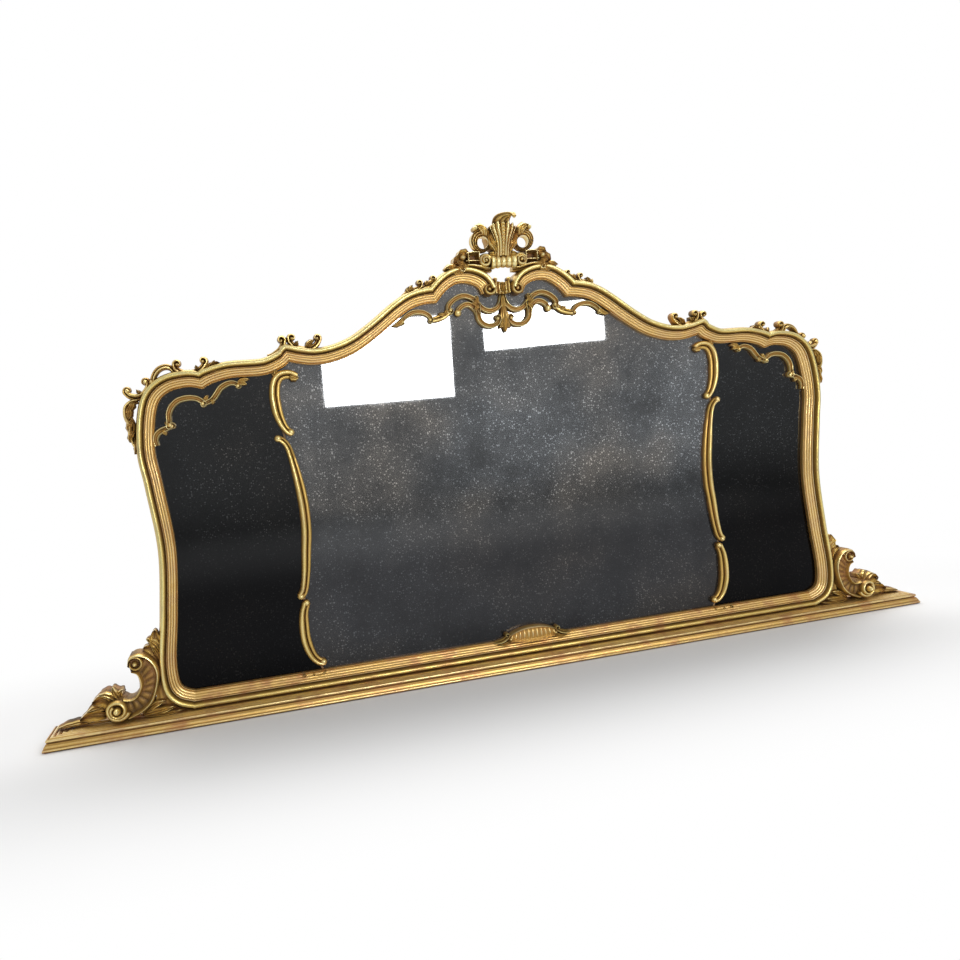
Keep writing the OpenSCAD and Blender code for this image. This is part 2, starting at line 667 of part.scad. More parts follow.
module pendant_half() {
    strand(from([0, crown_z], [[-102, -22], [-110, -12], [-102, -1], [-85, 9], [-69, 11], [-55, 5], [-44, -12],
        [-32, -19], [-18, -18], [-5, -9], [-1, 10]]), fret_w, fret_h, [0.8, 0.8], 0, 2);
    strand(from([0, crown_z], [[-90, -12], [-75, -7], [-61, -12], [-55, -26], [-46, -41], [-29, -45], [-15, -42],
        [-11, -34]]), fret_w, fret_h, [0.8, 0.8], 0, 2);
    strand(from([0, crown_z], [[-194, -31], [-180, -16], [-165, -14], [-150, -18], [-141, -29]]), fret_w, fret_h,
        [0.8, 0.8], 0, 2);
    strand(from([0, crown_z], [[-143, -28], [-130, -30], [-116, -25], [-104, -21]]), fret_w, fret_h, [0.8, 0.8], 0, 2);
    boss([-102, crown_z - 21], 5.5, fret_h + 1);
    boss([-90, crown_z - 12], 5, fret_h + 1);
    boss([-11, crown_z - 35], 5, fret_h + 1);
    leaf_spray([-50, crown_z - 3], [[-8, 8], [-2, -14]], 6, fret_h + 2);
    lobe([-196, crown_z - 32], [-212, crown_z - 35], 5, fret_h);
    lobe([0, crown_z - 38], [-12, crown_z - 52], 5, fret_h + 1);
}

module pendant_fret() {
    color(gold) difference() {
        union() {
            pendant_half();
            mirror([1, 0, 0]) pendant_half();
            lobe([0, crown_z - 14], [0, crown_z - 59], 8, fret_h + 3);
            lobe([0, crown_z - 16], [0, crown_z + 12], 5, fret_h + 1);
        }
        for (side = [-1, 1]) on_side(side) {
            moulding(arch_path, arch_out);
            moulding(crown_path, crown_out);
            boss(crown_eye, crown_eye_r, bead_h);
        }
        crown_link();
    }
}

// ---- crest --------------------------------------------------------------------------------------

crest_low_z = crown_z + 57;
crest_waist_z = crest_low_z + 27;
crest_eye = [38, crest_low_z + 43];
crest_hole_r = 11;
crest_ring_w = 9;
crest_volute = [34, crest_low_z + 11];
crest_roll_r = 12;

crest_outline = concat(
    [[0, crest_low_z - 2], [26, crest_low_z - 2], [84, crest_low_z - 8], [104, crest_low_z]],
    curve([[86, crest_low_z + 18], [66, crest_low_z + 27], crest_eye + [14, -15]], 2),
    [crest_eye + [-12, 14], [0, crest_eye[1] + 8]]);

module crest_body() {
    upright(2, crest_h - 16) difference() {
        union() {
            polygon(concat(crest_outline, mirrored(crest_outline)));
            for (side = [-1, 1]) translate([side * crest_eye[0], crest_eye[1]])
                circle(r = crest_hole_r + crest_ring_w - 1, $fn = 24);
        }
        for (side = [-1, 1]) translate([side * crest_eye[0], 0]) {
            translate([0, crest_eye[1]]) circle(r = crest_hole_r, $fn = 24);
            translate([side * 20 - 8, crest_low_z + 11]) square([16, 8]);
        }
    }
}

module crest_half() {
    strand(concat([[6, crest_waist_z - 4], [17, crest_waist_z + 3]],
        [for (a = [-145:45:80]) crest_eye + (crest_hole_r + crest_ring_w / 2 + 0.7) * [-cos(a), sin(a)]]),
        crest_ring_w, crest_h - 4, [0.5, 0.5], 6, 2);
    lobe(crest_eye + [4, 13], crest_eye + [15, 25], 5, crest_h + 6, 14);
    lobe([8, crest_waist_z + 8], [20, crest_low_z + 68], 7, crest_h + 8, 8);
    boss(crest_volute, 13, crest_h - 6, 4);
    boss(crest_volute, 6, crest_h, 4);
    lobe([62, crest_low_z + 22], [82, crest_low_z + 19], 6, crest_h - 6, 8);
    lobe([80, crest_low_z + 14], [97, crest_low_z + 8], 6, crest_h - 8, 6);
    strand([[22, crest_low_z - 6], [46, crest_low_z + 2], [68, crest_low_z + 2], [84, crest_low_z - 3],
        [104, crest_low_z - 2]], 9, crest_h - 6, [0.5, 0.6], 3, 1);
}

module crest() {
    color(gold) difference() {
        union() {
            crest_body();
            crest_half();
            mirror([1, 0, 0]) crest_half();
            translate([0, glass_y - crest_h + crest_roll_r + 2, crest_low_z + 12]) rotate([0, 90, 0])
                cylinder(r = crest_roll_r, h = 2 * crest_volute[0], center = true, $fn = 16);
        }
        for (side = [-1, 1]) on_side(side) {
            moulding(crown_path, crown_out);
            moulding(arch_path, arch_out);
        }
        crest_leaf_solid();
    }
}

// The tall centre leaf, which leans forward and curls over at its tip
module crest_leaf_solid() {
    rise = crown_z + crest_top - crest_waist_z - 3;
    lean = 9;
    spine = curve([[20, 0], [25, 0.3 * rise], [36, 0.63 * rise], [48, 0.89 * rise], [61, rise],
        [leaf_reach - 9, 0.93 * rise], [leaf_reach - 1, 0.7 * rise]], 2);
    last = len(spine) - 1;
    skin = [for (i = [0:last])
        let (t = i / last, n = outward(spine, i), w = 8 + 9 * sin(130 * t) - 9 * ease((t - 0.55) / 0.45),
             d = 9 - 6 * ease((t - 0.3) / 0.6), x = lean * ease((t - 0.6) / 0.4))
        for (q = [[-1, 0], [-0.6, 0.55], [0, 0.9], [0.6, 0.55], [1, 0], [0.5, -0.5], [-0.5, -0.5]])
            [q[0] * w + x, glass_y - spine[i][0] - q[1] * d * n[0], crest_waist_z + spine[i][1] + q[1] * d * n[1]]];
    polyhedron(points = skin, faces = tube_faces(last + 1, 7, [for (j = [1:5]) [0, j, j + 1]]));
}

module crest_leaf() {
    color(gold) crest_leaf_solid();
}

// ---- brackets -----------------------------------------------------------------------------------

volute = [side_x + volute_out, base_h + volute_r];
scroll_eye = [side_x + 68, base_h + upper_scroll_up];
scroll_eye_r = 9;

bracket_outer = [[12, 0], [9, 11], [-3, 17.5], [-20, 13], [-32, -1], [-36.5, -21], [-31, -48], [-21, -69], [-4, -83],
    [18, -92]];
bracket_inner = [[6, -14], [-2, -22], [-3, -40], [4, -52], [13, -57], [24, -54]];
bracket_back = 4;
bracket_h = 24;
bracket_edge_h = bracket_h + 14;
bracket_edge_w = 8;

module side_bracket(side) {
    outer = from(scroll_eye, bracket_outer);
    inner = from(scroll_eye, bracket_inner);
    color(gold) on_side(side) difference() {
        union() {
            upright(-bracket_back, bracket_h) polygon(concat(curve(outer, 2), reversed(inner)));
            strand([for (i = [0:len(outer) - 1]) outer[i] - bracket_edge_w / 2 * outward(outer, i)],
                bracket_edge_w, bracket_edge_h, [0.7, 0.7], 2, 2);
            strand([for (i = [0:len(inner) - 1]) inner[i] + bracket_edge_w / 2 * outward(inner, i)],
                bracket_edge_w, bracket_edge_h - 4, [0.7, 0.7], 2, 2);
            boss(scroll_eye, scroll_eye_r + 5, bracket_h + 4, 0);
            boss(scroll_eye, scroll_eye_r, bracket_edge_h, 0);
            for (q = [[-22, -6], [-25, -22], [-22, -38], [-13, -54], [0, -68]])
                lobe(scroll_eye + q, scroll_eye + q + [12, -6], 4, bracket_h + 5, 10);
            boss(volute, volute_r, volute_h - 12, -bracket_back);
        }
        moulding(stile_path, stile_out);
        volute_roll();
    }
}

// The coiled front of a lower volute, in three steps
module volute_roll() {
    for (q = [[0.8, 4], [0.55, 1], [0.28, 0]])
        translate([volute[0], glass_y - volute_h + 18, volute[1]]) rotate([90, 0, 0])
            cylinder(r = q[0] * volute_r, h = 18 - q[1], $fn = round_fn);
}

module bracket_volute(side) {
    color(gold) on_side(side) volute_roll();
}

module bracket_leaves(side) {
    color(gold) on_side(side) difference() {
        union() {
            leaf_spray(volute + [8, 8], [[31, 4], [20, 14]], 8, bracket_h + 6, -bracket_back);
            leaf_spray(volute + [-2, 14], [[3, 17], [-6, 12]], 7, bracket_h + 4, -bracket_back);
            leaf_spray(volute + [20, -10], [[34, -2], [20, 6]], 8, bracket_h, -bracket_back);
            lobe(volute + [24, -18], volute + [62, -15], 8, bracket_h, -bracket_back);
            lobe(volute + [50, -20], volute + [98, -23], 7, bracket_h - 8, -bracket_back);
        }
        side_bracket(1);
        bracket_volute(1);
        base_block();
    }
}

// The space of the base, as a plain block to scribe leaves to
module base_block() {
    translate([-base_w / 2, -nose_y, -1]) cube([base_w, nose_y + wall_y, base_h + 1]);
}

module stile_leaf(side) {
    root = scroll_eye + [-33, 8];
    color(gold) on_side(side) difference() {
        union() {
            leaf_spray(root, [[18, 32], [20, 22], [5, 44], [-12, 45], [16, 12]], 8, cresting_h + 4);
            leaf_spray(root + [2, 14], [[12, 18], [4, 26]], 6, cresting_h + 7);
        }
        moulding(stile_path, stile_out);
        side_bracket(1);
    }
}

module foot_leaf(side) {
    root = [side_x + 38, base_h + 6];
    color(gold) on_side(side) difference() {
        union() {
            leaf_spray(root, [[-30, 2], [-20, 16], [-8, 25], [5, 21], [20, 4]], 7, cresting_h + 2);
            lobe(root - [8, 0], root + [-30, 0], 6, cresting_h + 5);
        }
        moulding(stile_path, stile_out);
        side_bracket(1);
        bottom_rail_block();
        base_block();
    }
}

// ---- cartouche ----------------------------------------------------------------------------------

// A half outline, drawn from the middle outwards, joined to its mirror image
function both_ways(half) = concat([for (i = [len(half) - 1:-1:1]) [-half[i][0], half[i][1]]], half);

module cartouche_half() {
    strand(from([0, sight_z], [[40, 8], [50, 0], [60, 2], [72, 4]]), 6, bead_h - 6, [0.8, 0.4]);
    boss([51, sight_z + 17], 4.5, bead_h);
    boss([46, sight_z + 1], 4.5, bead_h - 2);
    for (i = [1:3]) lobe([i * 4, sight_z - 6], [i * 13, sight_z + 18 - i * 2.6], 6, bead_h - 5);
}

module bottom_cartouche() {
    color(gold) difference() {
        union() {
            strand(both_ways(from([0, sight_z], [[0, 21], [18, 20], [34, 15], [46, 8], [54, 12], [51, 18]])),
                7, bead_h, [0.8, 0.8]);
            strand(both_ways(from([0, sight_z], [[0, -9], [20, -9], [38, -6], [47, -1], [46, 4]])),
                6, bead_h - 2, [0.8, 0.8]);
            cartouche_half();
            mirror([1, 0, 0]) cartouche_half();
            lobe([0, sight_z - 6], [0, sight_z + 18], 6, bead_h - 4);
        }
        bottom_rail_block();
    }
}

// ---- assembly -----------------------------------------------------------------------------------

base_plinth();
base_screws();
bottom_rail();
stile(-1);  // left_stile
stile(1);  // right_stile
shoulder_rail(-1);  // left_shoulder_rail
shoulder_rail(1);  // right_shoulder_rail
arch_rail(-1);  // left_arch_rail
arch_rail(1);  // right_arch_rail
crown_rail(-1);  // left_crown_rail
crown_rail(1);  // right_crown_rail
crown_link();
crest();
crest_leaf();
pendant_fret();
arch_sprig(-1);  // left_arch_sprig
arch_sprig(1);  // right_arch_sprig
cusp_scroll(-1);  // left_cusp_scroll
cusp_scroll(1);  // right_cusp_scroll
corner_cresting(-1);  // left_corner_cresting
corner_cresting(1);  // right_corner_cresting
corner_fret(-1);  // left_corner_fret
corner_fret(1);  // right_corner_fret
divider_top(-1);  // left_divider_top
divider_top(1);  // right_divider_top
divider_middle(-1);  // left_divider_middle
divider_middle(1);  // right_divider_middle
divider_foot(-1);  // left_divider_foot
divider_foot(1);  // right_divider_foot
foot_curls(-1);  // left_foot_curls
foot_curls(1);  // right_foot_curls
side_bracket(-1);  // left_side_bracket
side_bracket(1);  // right_side_bracket
bracket_volute(-1);  // left_bracket_volute
bracket_volute(1);  // right_bracket_volute
bracket_leaves(-1);  // left_bracket_leaves
bracket_leaves(1);  // right_bracket_leaves
stile_leaf(-1);  // left_stile_leaf
stile_leaf(1);  // right_stile_leaf
foot_leaf(-1);  // left_foot_leaf
foot_leaf(1);  // right_foot_leaf
bottom_cartouche();
mirror_plate(-1);  // left_mirror_plate
mirror_plate(0);  // centre_mirror_plate
mirror_plate(1);  // right_mirror_plate
backboard(-1);  // left_backboard
backboard(0);  // centre_backboard
backboard(1);  // right_backboard
mullion(-1);  // left_mullion
mullion(1);  // right_mullion
batten(low_batten_z);  // lower_batten
batten(high_batten_z);  // upper_batten
batten_screws();
hanging_plate(-1);  // left_hanging_plate
hanging_plate(1);  // right_hanging_plate
hanger_screws();
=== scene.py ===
import bpy
import numpy as np
from mathutils import Matrix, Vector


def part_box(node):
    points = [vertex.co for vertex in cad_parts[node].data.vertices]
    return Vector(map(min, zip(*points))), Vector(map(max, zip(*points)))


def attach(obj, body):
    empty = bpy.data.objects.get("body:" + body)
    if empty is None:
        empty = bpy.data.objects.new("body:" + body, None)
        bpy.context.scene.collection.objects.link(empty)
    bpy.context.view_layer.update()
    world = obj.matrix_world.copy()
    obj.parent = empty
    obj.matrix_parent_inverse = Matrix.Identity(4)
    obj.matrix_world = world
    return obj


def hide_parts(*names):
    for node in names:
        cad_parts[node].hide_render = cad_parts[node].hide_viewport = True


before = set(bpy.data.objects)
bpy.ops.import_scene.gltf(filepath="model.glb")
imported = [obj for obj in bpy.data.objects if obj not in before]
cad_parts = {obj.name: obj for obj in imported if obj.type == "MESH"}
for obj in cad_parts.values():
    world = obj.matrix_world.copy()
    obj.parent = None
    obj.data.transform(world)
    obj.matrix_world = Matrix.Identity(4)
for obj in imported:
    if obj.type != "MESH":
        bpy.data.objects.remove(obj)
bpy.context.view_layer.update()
print("frame loaded:", len(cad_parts), "nodes")

# All shapes are worked out in millimetres: x along the shelf, z up, and a height in front of the glass
# that becomes -y. They are scaled to metres when a mesh is made.
perMetre = 1000
plinthLow, plinthHigh = [np.array(corner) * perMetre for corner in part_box("base_plinth")]
railLow, railHigh = [np.array(corner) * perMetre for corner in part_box("bottom_rail")]
plateLow = np.array(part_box("centre_mirror_plate")[0]) * perMetre

glassY = plateLow[1]
frameBack = railHigh[1] - glassY
baseH = plinthHigh[2]
sightZ = railHigh[2]
mouldW = railHigh[2] - railLow[2]

opening = {
    "sideX": 633,        # half the width at the corners
    "waistIn": 15,       # how far the stiles draw in
    "shoulderZ": 567,
    "cuspX": 398,
    "cuspRise": 32,      # above the shoulders
    "crownX": 126,
    "crownRise": 120,
    "bottomX": 613,
}
sideX, shoulderZ = opening["sideX"], opening["shoulderZ"]
cuspX, cuspZ = opening["cuspX"], opening["shoulderZ"] + opening["cuspRise"]
crownX, crownZ = opening["crownX"], opening["shoulderZ"] + opening["crownRise"]
corner = np.array([sideX, shoulderZ])
cusp = np.array([cuspX, cuspZ])
kink = np.array([crownX, crownZ])
scrollEye = np.array([sideX + 68, baseH + 95])
volute = np.array([sideX + 102, baseH + 23.5])


# Catmull-Rom: each span is the cubic through its two middle points, with slopes from their neighbours
def smoothCurve(points, steps):
    p = np.asarray(points, float)
    held = np.vstack([2 * p[0] - p[1], p, 2 * p[-1] - p[-2]])
    a, b, c, d = [held[k:len(p) - 1 + k, None, :] for k in range(4)]
    t = (np.arange(steps) / steps)[None, :, None]
    span = 0.5 * (2 * b + (c - a) * t + (2 * a - 5 * b + 4 * c - d) * t**2 + (3 * b - a - 3 * c + d) * t**3)
    return np.vstack([span.reshape(-1, p.shape[1]), p[-1:]])


# From the point before to the point after: (ahead - behind) / |ahead - behind|
def headingOf(path):
    ahead = np.vstack([path[1:], path[-1:]])
    behind = np.vstack([path[:1], path[:-1]])
    heading = ahead - behind
    return heading / np.linalg.norm(heading, axis=1, keepdims=True)


# The heading turned a quarter turn to the right
def outwardOf(path):
    heading = headingOf(path)
    return np.stack([heading[:, 1], -heading[:, 0]], 1)


def lengthAlong(path):
    steps = np.linalg.norm(np.diff(path, axis=0), axis=1)
    return np.concatenate([[0], np.cumsum(steps)])


# t * t * (3 - 2 * t), held between 0 and 1
def easeIn(t):
    t = np.clip(t, 0, 1)
    return t * t * (3 - 2 * t)


# Share of the full size along a strand: thin[0] and thin[1] at its ends, full in the middle
def swell(share, thin):
    rising = thin[0] + (1 - thin[0]) * easeIn(share / 0.4)
    falling = thin[1] + (1 - thin[1]) * easeIn((1 - share) / 0.4)
    return rising * falling


# Quads between neighbouring closed rings, where point j of ring i is number i * cols + j
def gridFaces(rows, cols):
    i = np.arange(rows - 1)[:, None] * cols
    j = np.arange(cols)[None, :]
    k = (j + 1) % cols
    return np.stack([i + j, i + k, i + cols + k, i + cols + j], -1).reshape(-1, 4)


# Skins rows of closed rings, and closes both ends with fans to their hubs
def tubePart(rings, tone, flow, hubs=None):
    rows, cols = rings.shape[:2]
    first, last = (rings[0].mean(0), rings[-1].mean(0)) if hubs is None else hubs
    j = np.arange(cols)
    k = (j + 1) % cols
    firstHub, lastHub = rows * cols, rows * cols + 1
    lastRow = (rows - 1) * cols
    fans = np.vstack([
        np.stack([np.full(cols, firstHub), k, j], 1),
        np.stack([np.full(cols, lastHub), lastRow + j, lastRow + k], 1)])
    tone = np.broadcast_to(tone, (rows, cols))
    flow = np.broadcast_to(flow, (rows, cols, 2))
    return {
        "points": np.vstack([rings.reshape(-1, 3), first, last]),
        "quads": gridFaces(rows, cols),
        "fans": fans,
        "tone": np.concatenate([tone.ravel(), [tone[0].mean(), tone[-1].mean()]]),
        "flow": np.vstack([flow.reshape(-1, 2), flow[0].mean(0), flow[-1].mean(0)]),
    }


# Six times the volume that the faces enclose, which is negative when they point inwards
def enclosed(part, points):
    q, t = points[part["quads"]], points[part["fans"]]
    halves = np.concatenate([q[:, [0, 1, 2]], q[:, [0, 2, 3]], t])
    return np.einsum("ij,ij->i", halves[:, 0], np.cross(halves[:, 1], halves[:, 2])).sum()


hair = {"part": 0.01, "piece": 0.07, "pieces": 5}    # mm, and how many neighbouring pieces differ


# Joins closed parts into one piece. Each part lies a hair behind the one before it, and neighbouring pieces
# differ too, so that no two flat backs that overlap lie in one plane
def makePiece(name, parts, side=1, sharpAngle=40):
    points, faces, shadesAndWear, flows, warmths = [], [], [], [], []
    offset = 0
    setBack = hair["piece"] * (len(bpy.data.meshes) % hair["pieces"])
    for count, part in enumerate(parts):
        place = part["points"] * [side, 1, 1]
        if len(parts) > 1:
            place[:, 1] += setBack + hair["part"] * count
        inward = enclosed(part, place - place.mean(0)) < 0
        for key in ("quads", "fans"):
            found = part[key][:, ::-1] if inward else part[key]
            faces.extend((found + offset).tolist())
        points.append(place)
        shadesAndWear.append(part["tone"])
        flows.append(part["flow"])
        warmths.append(np.broadcast_to(part.get("warmth", 0.35), len(place)))
        offset += len(place)
    mesh = bpy.data.meshes.new(name)
    mesh.from_pydata((np.vstack(points) / perMetre).tolist(), [], faces)
    # The per-vertex tone holds painted shade and painted highlights together with rubbed wear on high edges
    for label, values in (("tone", shadesAndWear), ("warmth", warmths)):
        attribute = mesh.attributes.new(label, "FLOAT", "POINT")
        attribute.data.foreach_set("value", np.concatenate(values).astype(np.float32))
    corners = np.zeros(len(mesh.loops), np.int32)
    mesh.loops.foreach_get("vertex_index", corners)
    flow = mesh.uv_layers.new(name="flow")
    flow.data.foreach_set("uv", (np.vstack(flows)[corners] / perMetre).astype(np.float32).ravel())
    mesh.shade_smooth()
    mesh.set_sharp_from_angle(angle=np.radians(sharpAngle))
    piece = bpy.data.objects.new(name, mesh)
    bpy.context.scene.collection.objects.link(piece)
    return piece


# Stands flat points up in front of the glass at the given heights
def stand(flat, height):
    height = np.broadcast_to(height, flat.shape[:-1])
    return np.stack([flat[..., 0], glassY - height, flat[..., 1]], -1)


def startMaterial(name):
    material = bpy.data.materials.new(name)
    material.use_nodes = True
    tree = material.node_tree
    shader = tree.nodes["Principled BSDF"]
    return material, tree, shader


def addNode(tree, kind, inputs=None, **settings):
    node = tree.nodes.new(kind)
    for key, value in settings.items():
        setattr(node, key, value)
    for key, value in (inputs or {}).items():
        if isinstance(value, bpy.types.NodeSocket):
            tree.links.new(value, node.inputs[key])
        else:
            node.inputs[key].default_value = value
    return node


def mixColours(tree, share, first, second, blend="MIX"):
    node = addNode(tree, "ShaderNodeMix", data_type="RGBA", blend_type=blend)
    for socket, value in ((node.inputs[0], share), (node.inputs[6], first), (node.inputs[7], second)):
        if isinstance(value, bpy.types.NodeSocket):
            tree.links.new(value, socket)
        else:
            socket.default_value = value
    return node.outputs[2]


def sums(tree, operation, *values):
    node = addNode(tree, "ShaderNodeMath", dict(enumerate(values)), operation=operation)
    return node.outputs[0]


def ramp(tree, value, stops):
    node = addNode(tree, "ShaderNodeValToRGB", {0: value})
    while len(node.color_ramp.elements) < len(stops):
        node.color_ramp.elements.new(0.5)
    for element, (place, colour) in zip(node.color_ramp.elements, stops):
        element.position = place
        element.color = colour if len(colour) == 4 else (*colour, 1)
    return node.outputs[0]


def grey(value):
    return (value, value, value, 1)


gilding = {
    "recess": (0.045, 0.024, 0.008),
    "umber": (0.15, 0.078, 0.020),
    "ochre": (0.40, 0.235, 0.062),
    "leaf": (0.76, 0.53, 0.17),
    # the bright end of the ramp: rubbed high edges and painted highlights
    "rubbedAndHighlight": (0.98, 0.87, 0.50),
    "bole": (0.42, 0.18, 0.08),
    "gesso": (0.82, 0.77, 0.66),
    "back": (0.17, 0.088, 0.040),    # flat backs, left in bole without leaf
    "green": (0.93, 0.98, 0.82),     # tints by which the leaf is multiplied: at warmth 0
    "blush": (1.0, 0.90, 0.84),      # and at warmth 1
}


# Gold leaf over bole: the vertex tone picks the colour from recess to rubbed edge, and holds painted shade
# in recesses and painted highlights on crowns along with rubbed wear on high edges; fine streaks follow the
# carving, ambient occlusion darkens hollows to umber as painted shade, and the bole shows through in worn
# patches
def goldLeaf(name, wear=0.3, chips=0.0, darker=0.0):
    material, tree, shader = startMaterial(name)
    place = addNode(tree, "ShaderNodeTexCoord").outputs["Object"]
    tone = addNode(tree, "ShaderNodeAttribute", attribute_name="tone").outputs["Fac"]
    flow = addNode(tree, "ShaderNodeUVMap", uv_map="flow").outputs["UV"]
    streakPlace = addNode(tree, "ShaderNodeMapping", {"Vector": flow, "Scale": (45, 1400, 1)}).outputs[0]
    streaks = addNode(tree, "ShaderNodeTexNoise", {"Vector": streakPlace, "Scale": 1,
                                                   "Detail": 4}).outputs[0]
    patches = addNode(tree, "ShaderNodeTexNoise", {"Vector": place, "Scale": 32, "Detail": 5}).outputs[0]
    grains = addNode(tree, "ShaderNodeTexNoise", {"Vector": place, "Scale": 420, "Detail": 3}).outputs[0]
    # Painted shade: ambient occlusion darkens the colour in hollows, creases and between parts
    hollow = addNode(tree, "ShaderNodeAmbientOcclusion", {"Distance": 0.007}, samples=8).outputs["AO"]
    occlusionShade = ramp(tree, hollow, [(0.2, grey(0.25)), (0.85, grey(1.0))])

    shade = sums(tree, "MULTIPLY_ADD", streaks, 0.34, tone)
    shade = sums(tree, "MULTIPLY_ADD", patches, 0.30, shade)
    shade = sums(tree, "MULTIPLY_ADD", grains, 0.20, shade)
    shade = sums(tree, "ADD", shade, -0.42 - darker)
    shade = sums(tree, "MULTIPLY", shade, occlusionShade)
    colour = ramp(tree, shade, [
        (0.0, gilding["recess"]), (0.18, gilding["umber"]), (0.42, gilding["ochre"]),
        (0.74, gilding["leaf"]), (1.0, gilding["rubbedAndHighlight"])])
    worn = ramp(tree, sums(tree, "MULTIPLY_ADD", patches, 0.6, sums(tree, "MULTIPLY", streaks, 0.5)),
                [(0.53, grey(0.0)), (0.66, grey(wear))])
    colour = mixColours(tree, worn, colour, (*gilding["bole"], 1))
    if chips:
        specks = addNode(tree, "ShaderNodeTexNoise", {"Vector": place, "Scale": 150,
                                                      "Detail": 2}).outputs[0]
        spots = ramp(tree, specks, [(0.745 - chips, grey(0.0)), (0.76 - chips, grey(1.0))])
        colour = mixColours(tree, spots, colour, (*gilding["gesso"], 1))
    warmth = addNode(tree, "ShaderNodeAttribute", attribute_name="warmth").outputs["Fac"]
    tint = mixColours(tree, warmth, (*gilding["green"], 1), (*gilding["blush"], 1))
    colour = mixColours(tree, 1.0, colour, tint, "MULTIPLY")
    facing = addNode(tree, "ShaderNodeTexCoord").outputs["Normal"]
    towardsBack = addNode(tree, "ShaderNodeSeparateXYZ", {0: facing}).outputs[1]
    back = ramp(tree, towardsBack, [(0.75, grey(0.0)), (0.92, grey(1.0))])
    bare = mixColours(tree, patches, (*gilding["recess"], 1), (*gilding["back"], 1))
    colour = mixColours(tree, back, colour, bare)
    tree.links.new(colour, shader.inputs["Base Color"])
    metal = ramp(tree, shade, [(0.1, grey(0.35)), (0.7, grey(0.78))])
    metal = sums(tree, "MULTIPLY", metal, sums(tree, "SUBTRACT", 1.0, back))
    tree.links.new(metal, shader.inputs["Metallic"])
    rough = ramp(tree, shade, [(0.1, grey(0.55)), (0.8, grey(0.29))])
    rough = sums(tree, "MULTIPLY_ADD", back, 0.2, rough)
    tree.links.new(rough, shader.inputs["Roughness"])
    relief = sums(tree, "MULTIPLY_ADD", grains, 0.6, streaks)
    bump = addNode(tree, "ShaderNodeBump", {"Height": relief, "Strength": 0.35, "Distance": 0.0006})
    tree.links.new(bump.outputs[0], shader.inputs["Normal"])
    return material


oldMirror = {
    "silver": (0.19, 0.195, 0.20),
    "shadedLowSilver": (0.030, 0.030, 0.032),
    "fadeLow": 0.20,        # metres above the shelf up to which the plate is darkest
    "fadeHigh": 0.44,       # and where it is clear again
    "coolDust": (0.60, 0.64, 0.68),
    "warmDust": (0.66, 0.61, 0.55),
    "grains": 750,          # cells to the metre of the finest dust
    "fineDots": 300,        # and of the specks, each with a size of its own
    "coarseDots": 105,
}


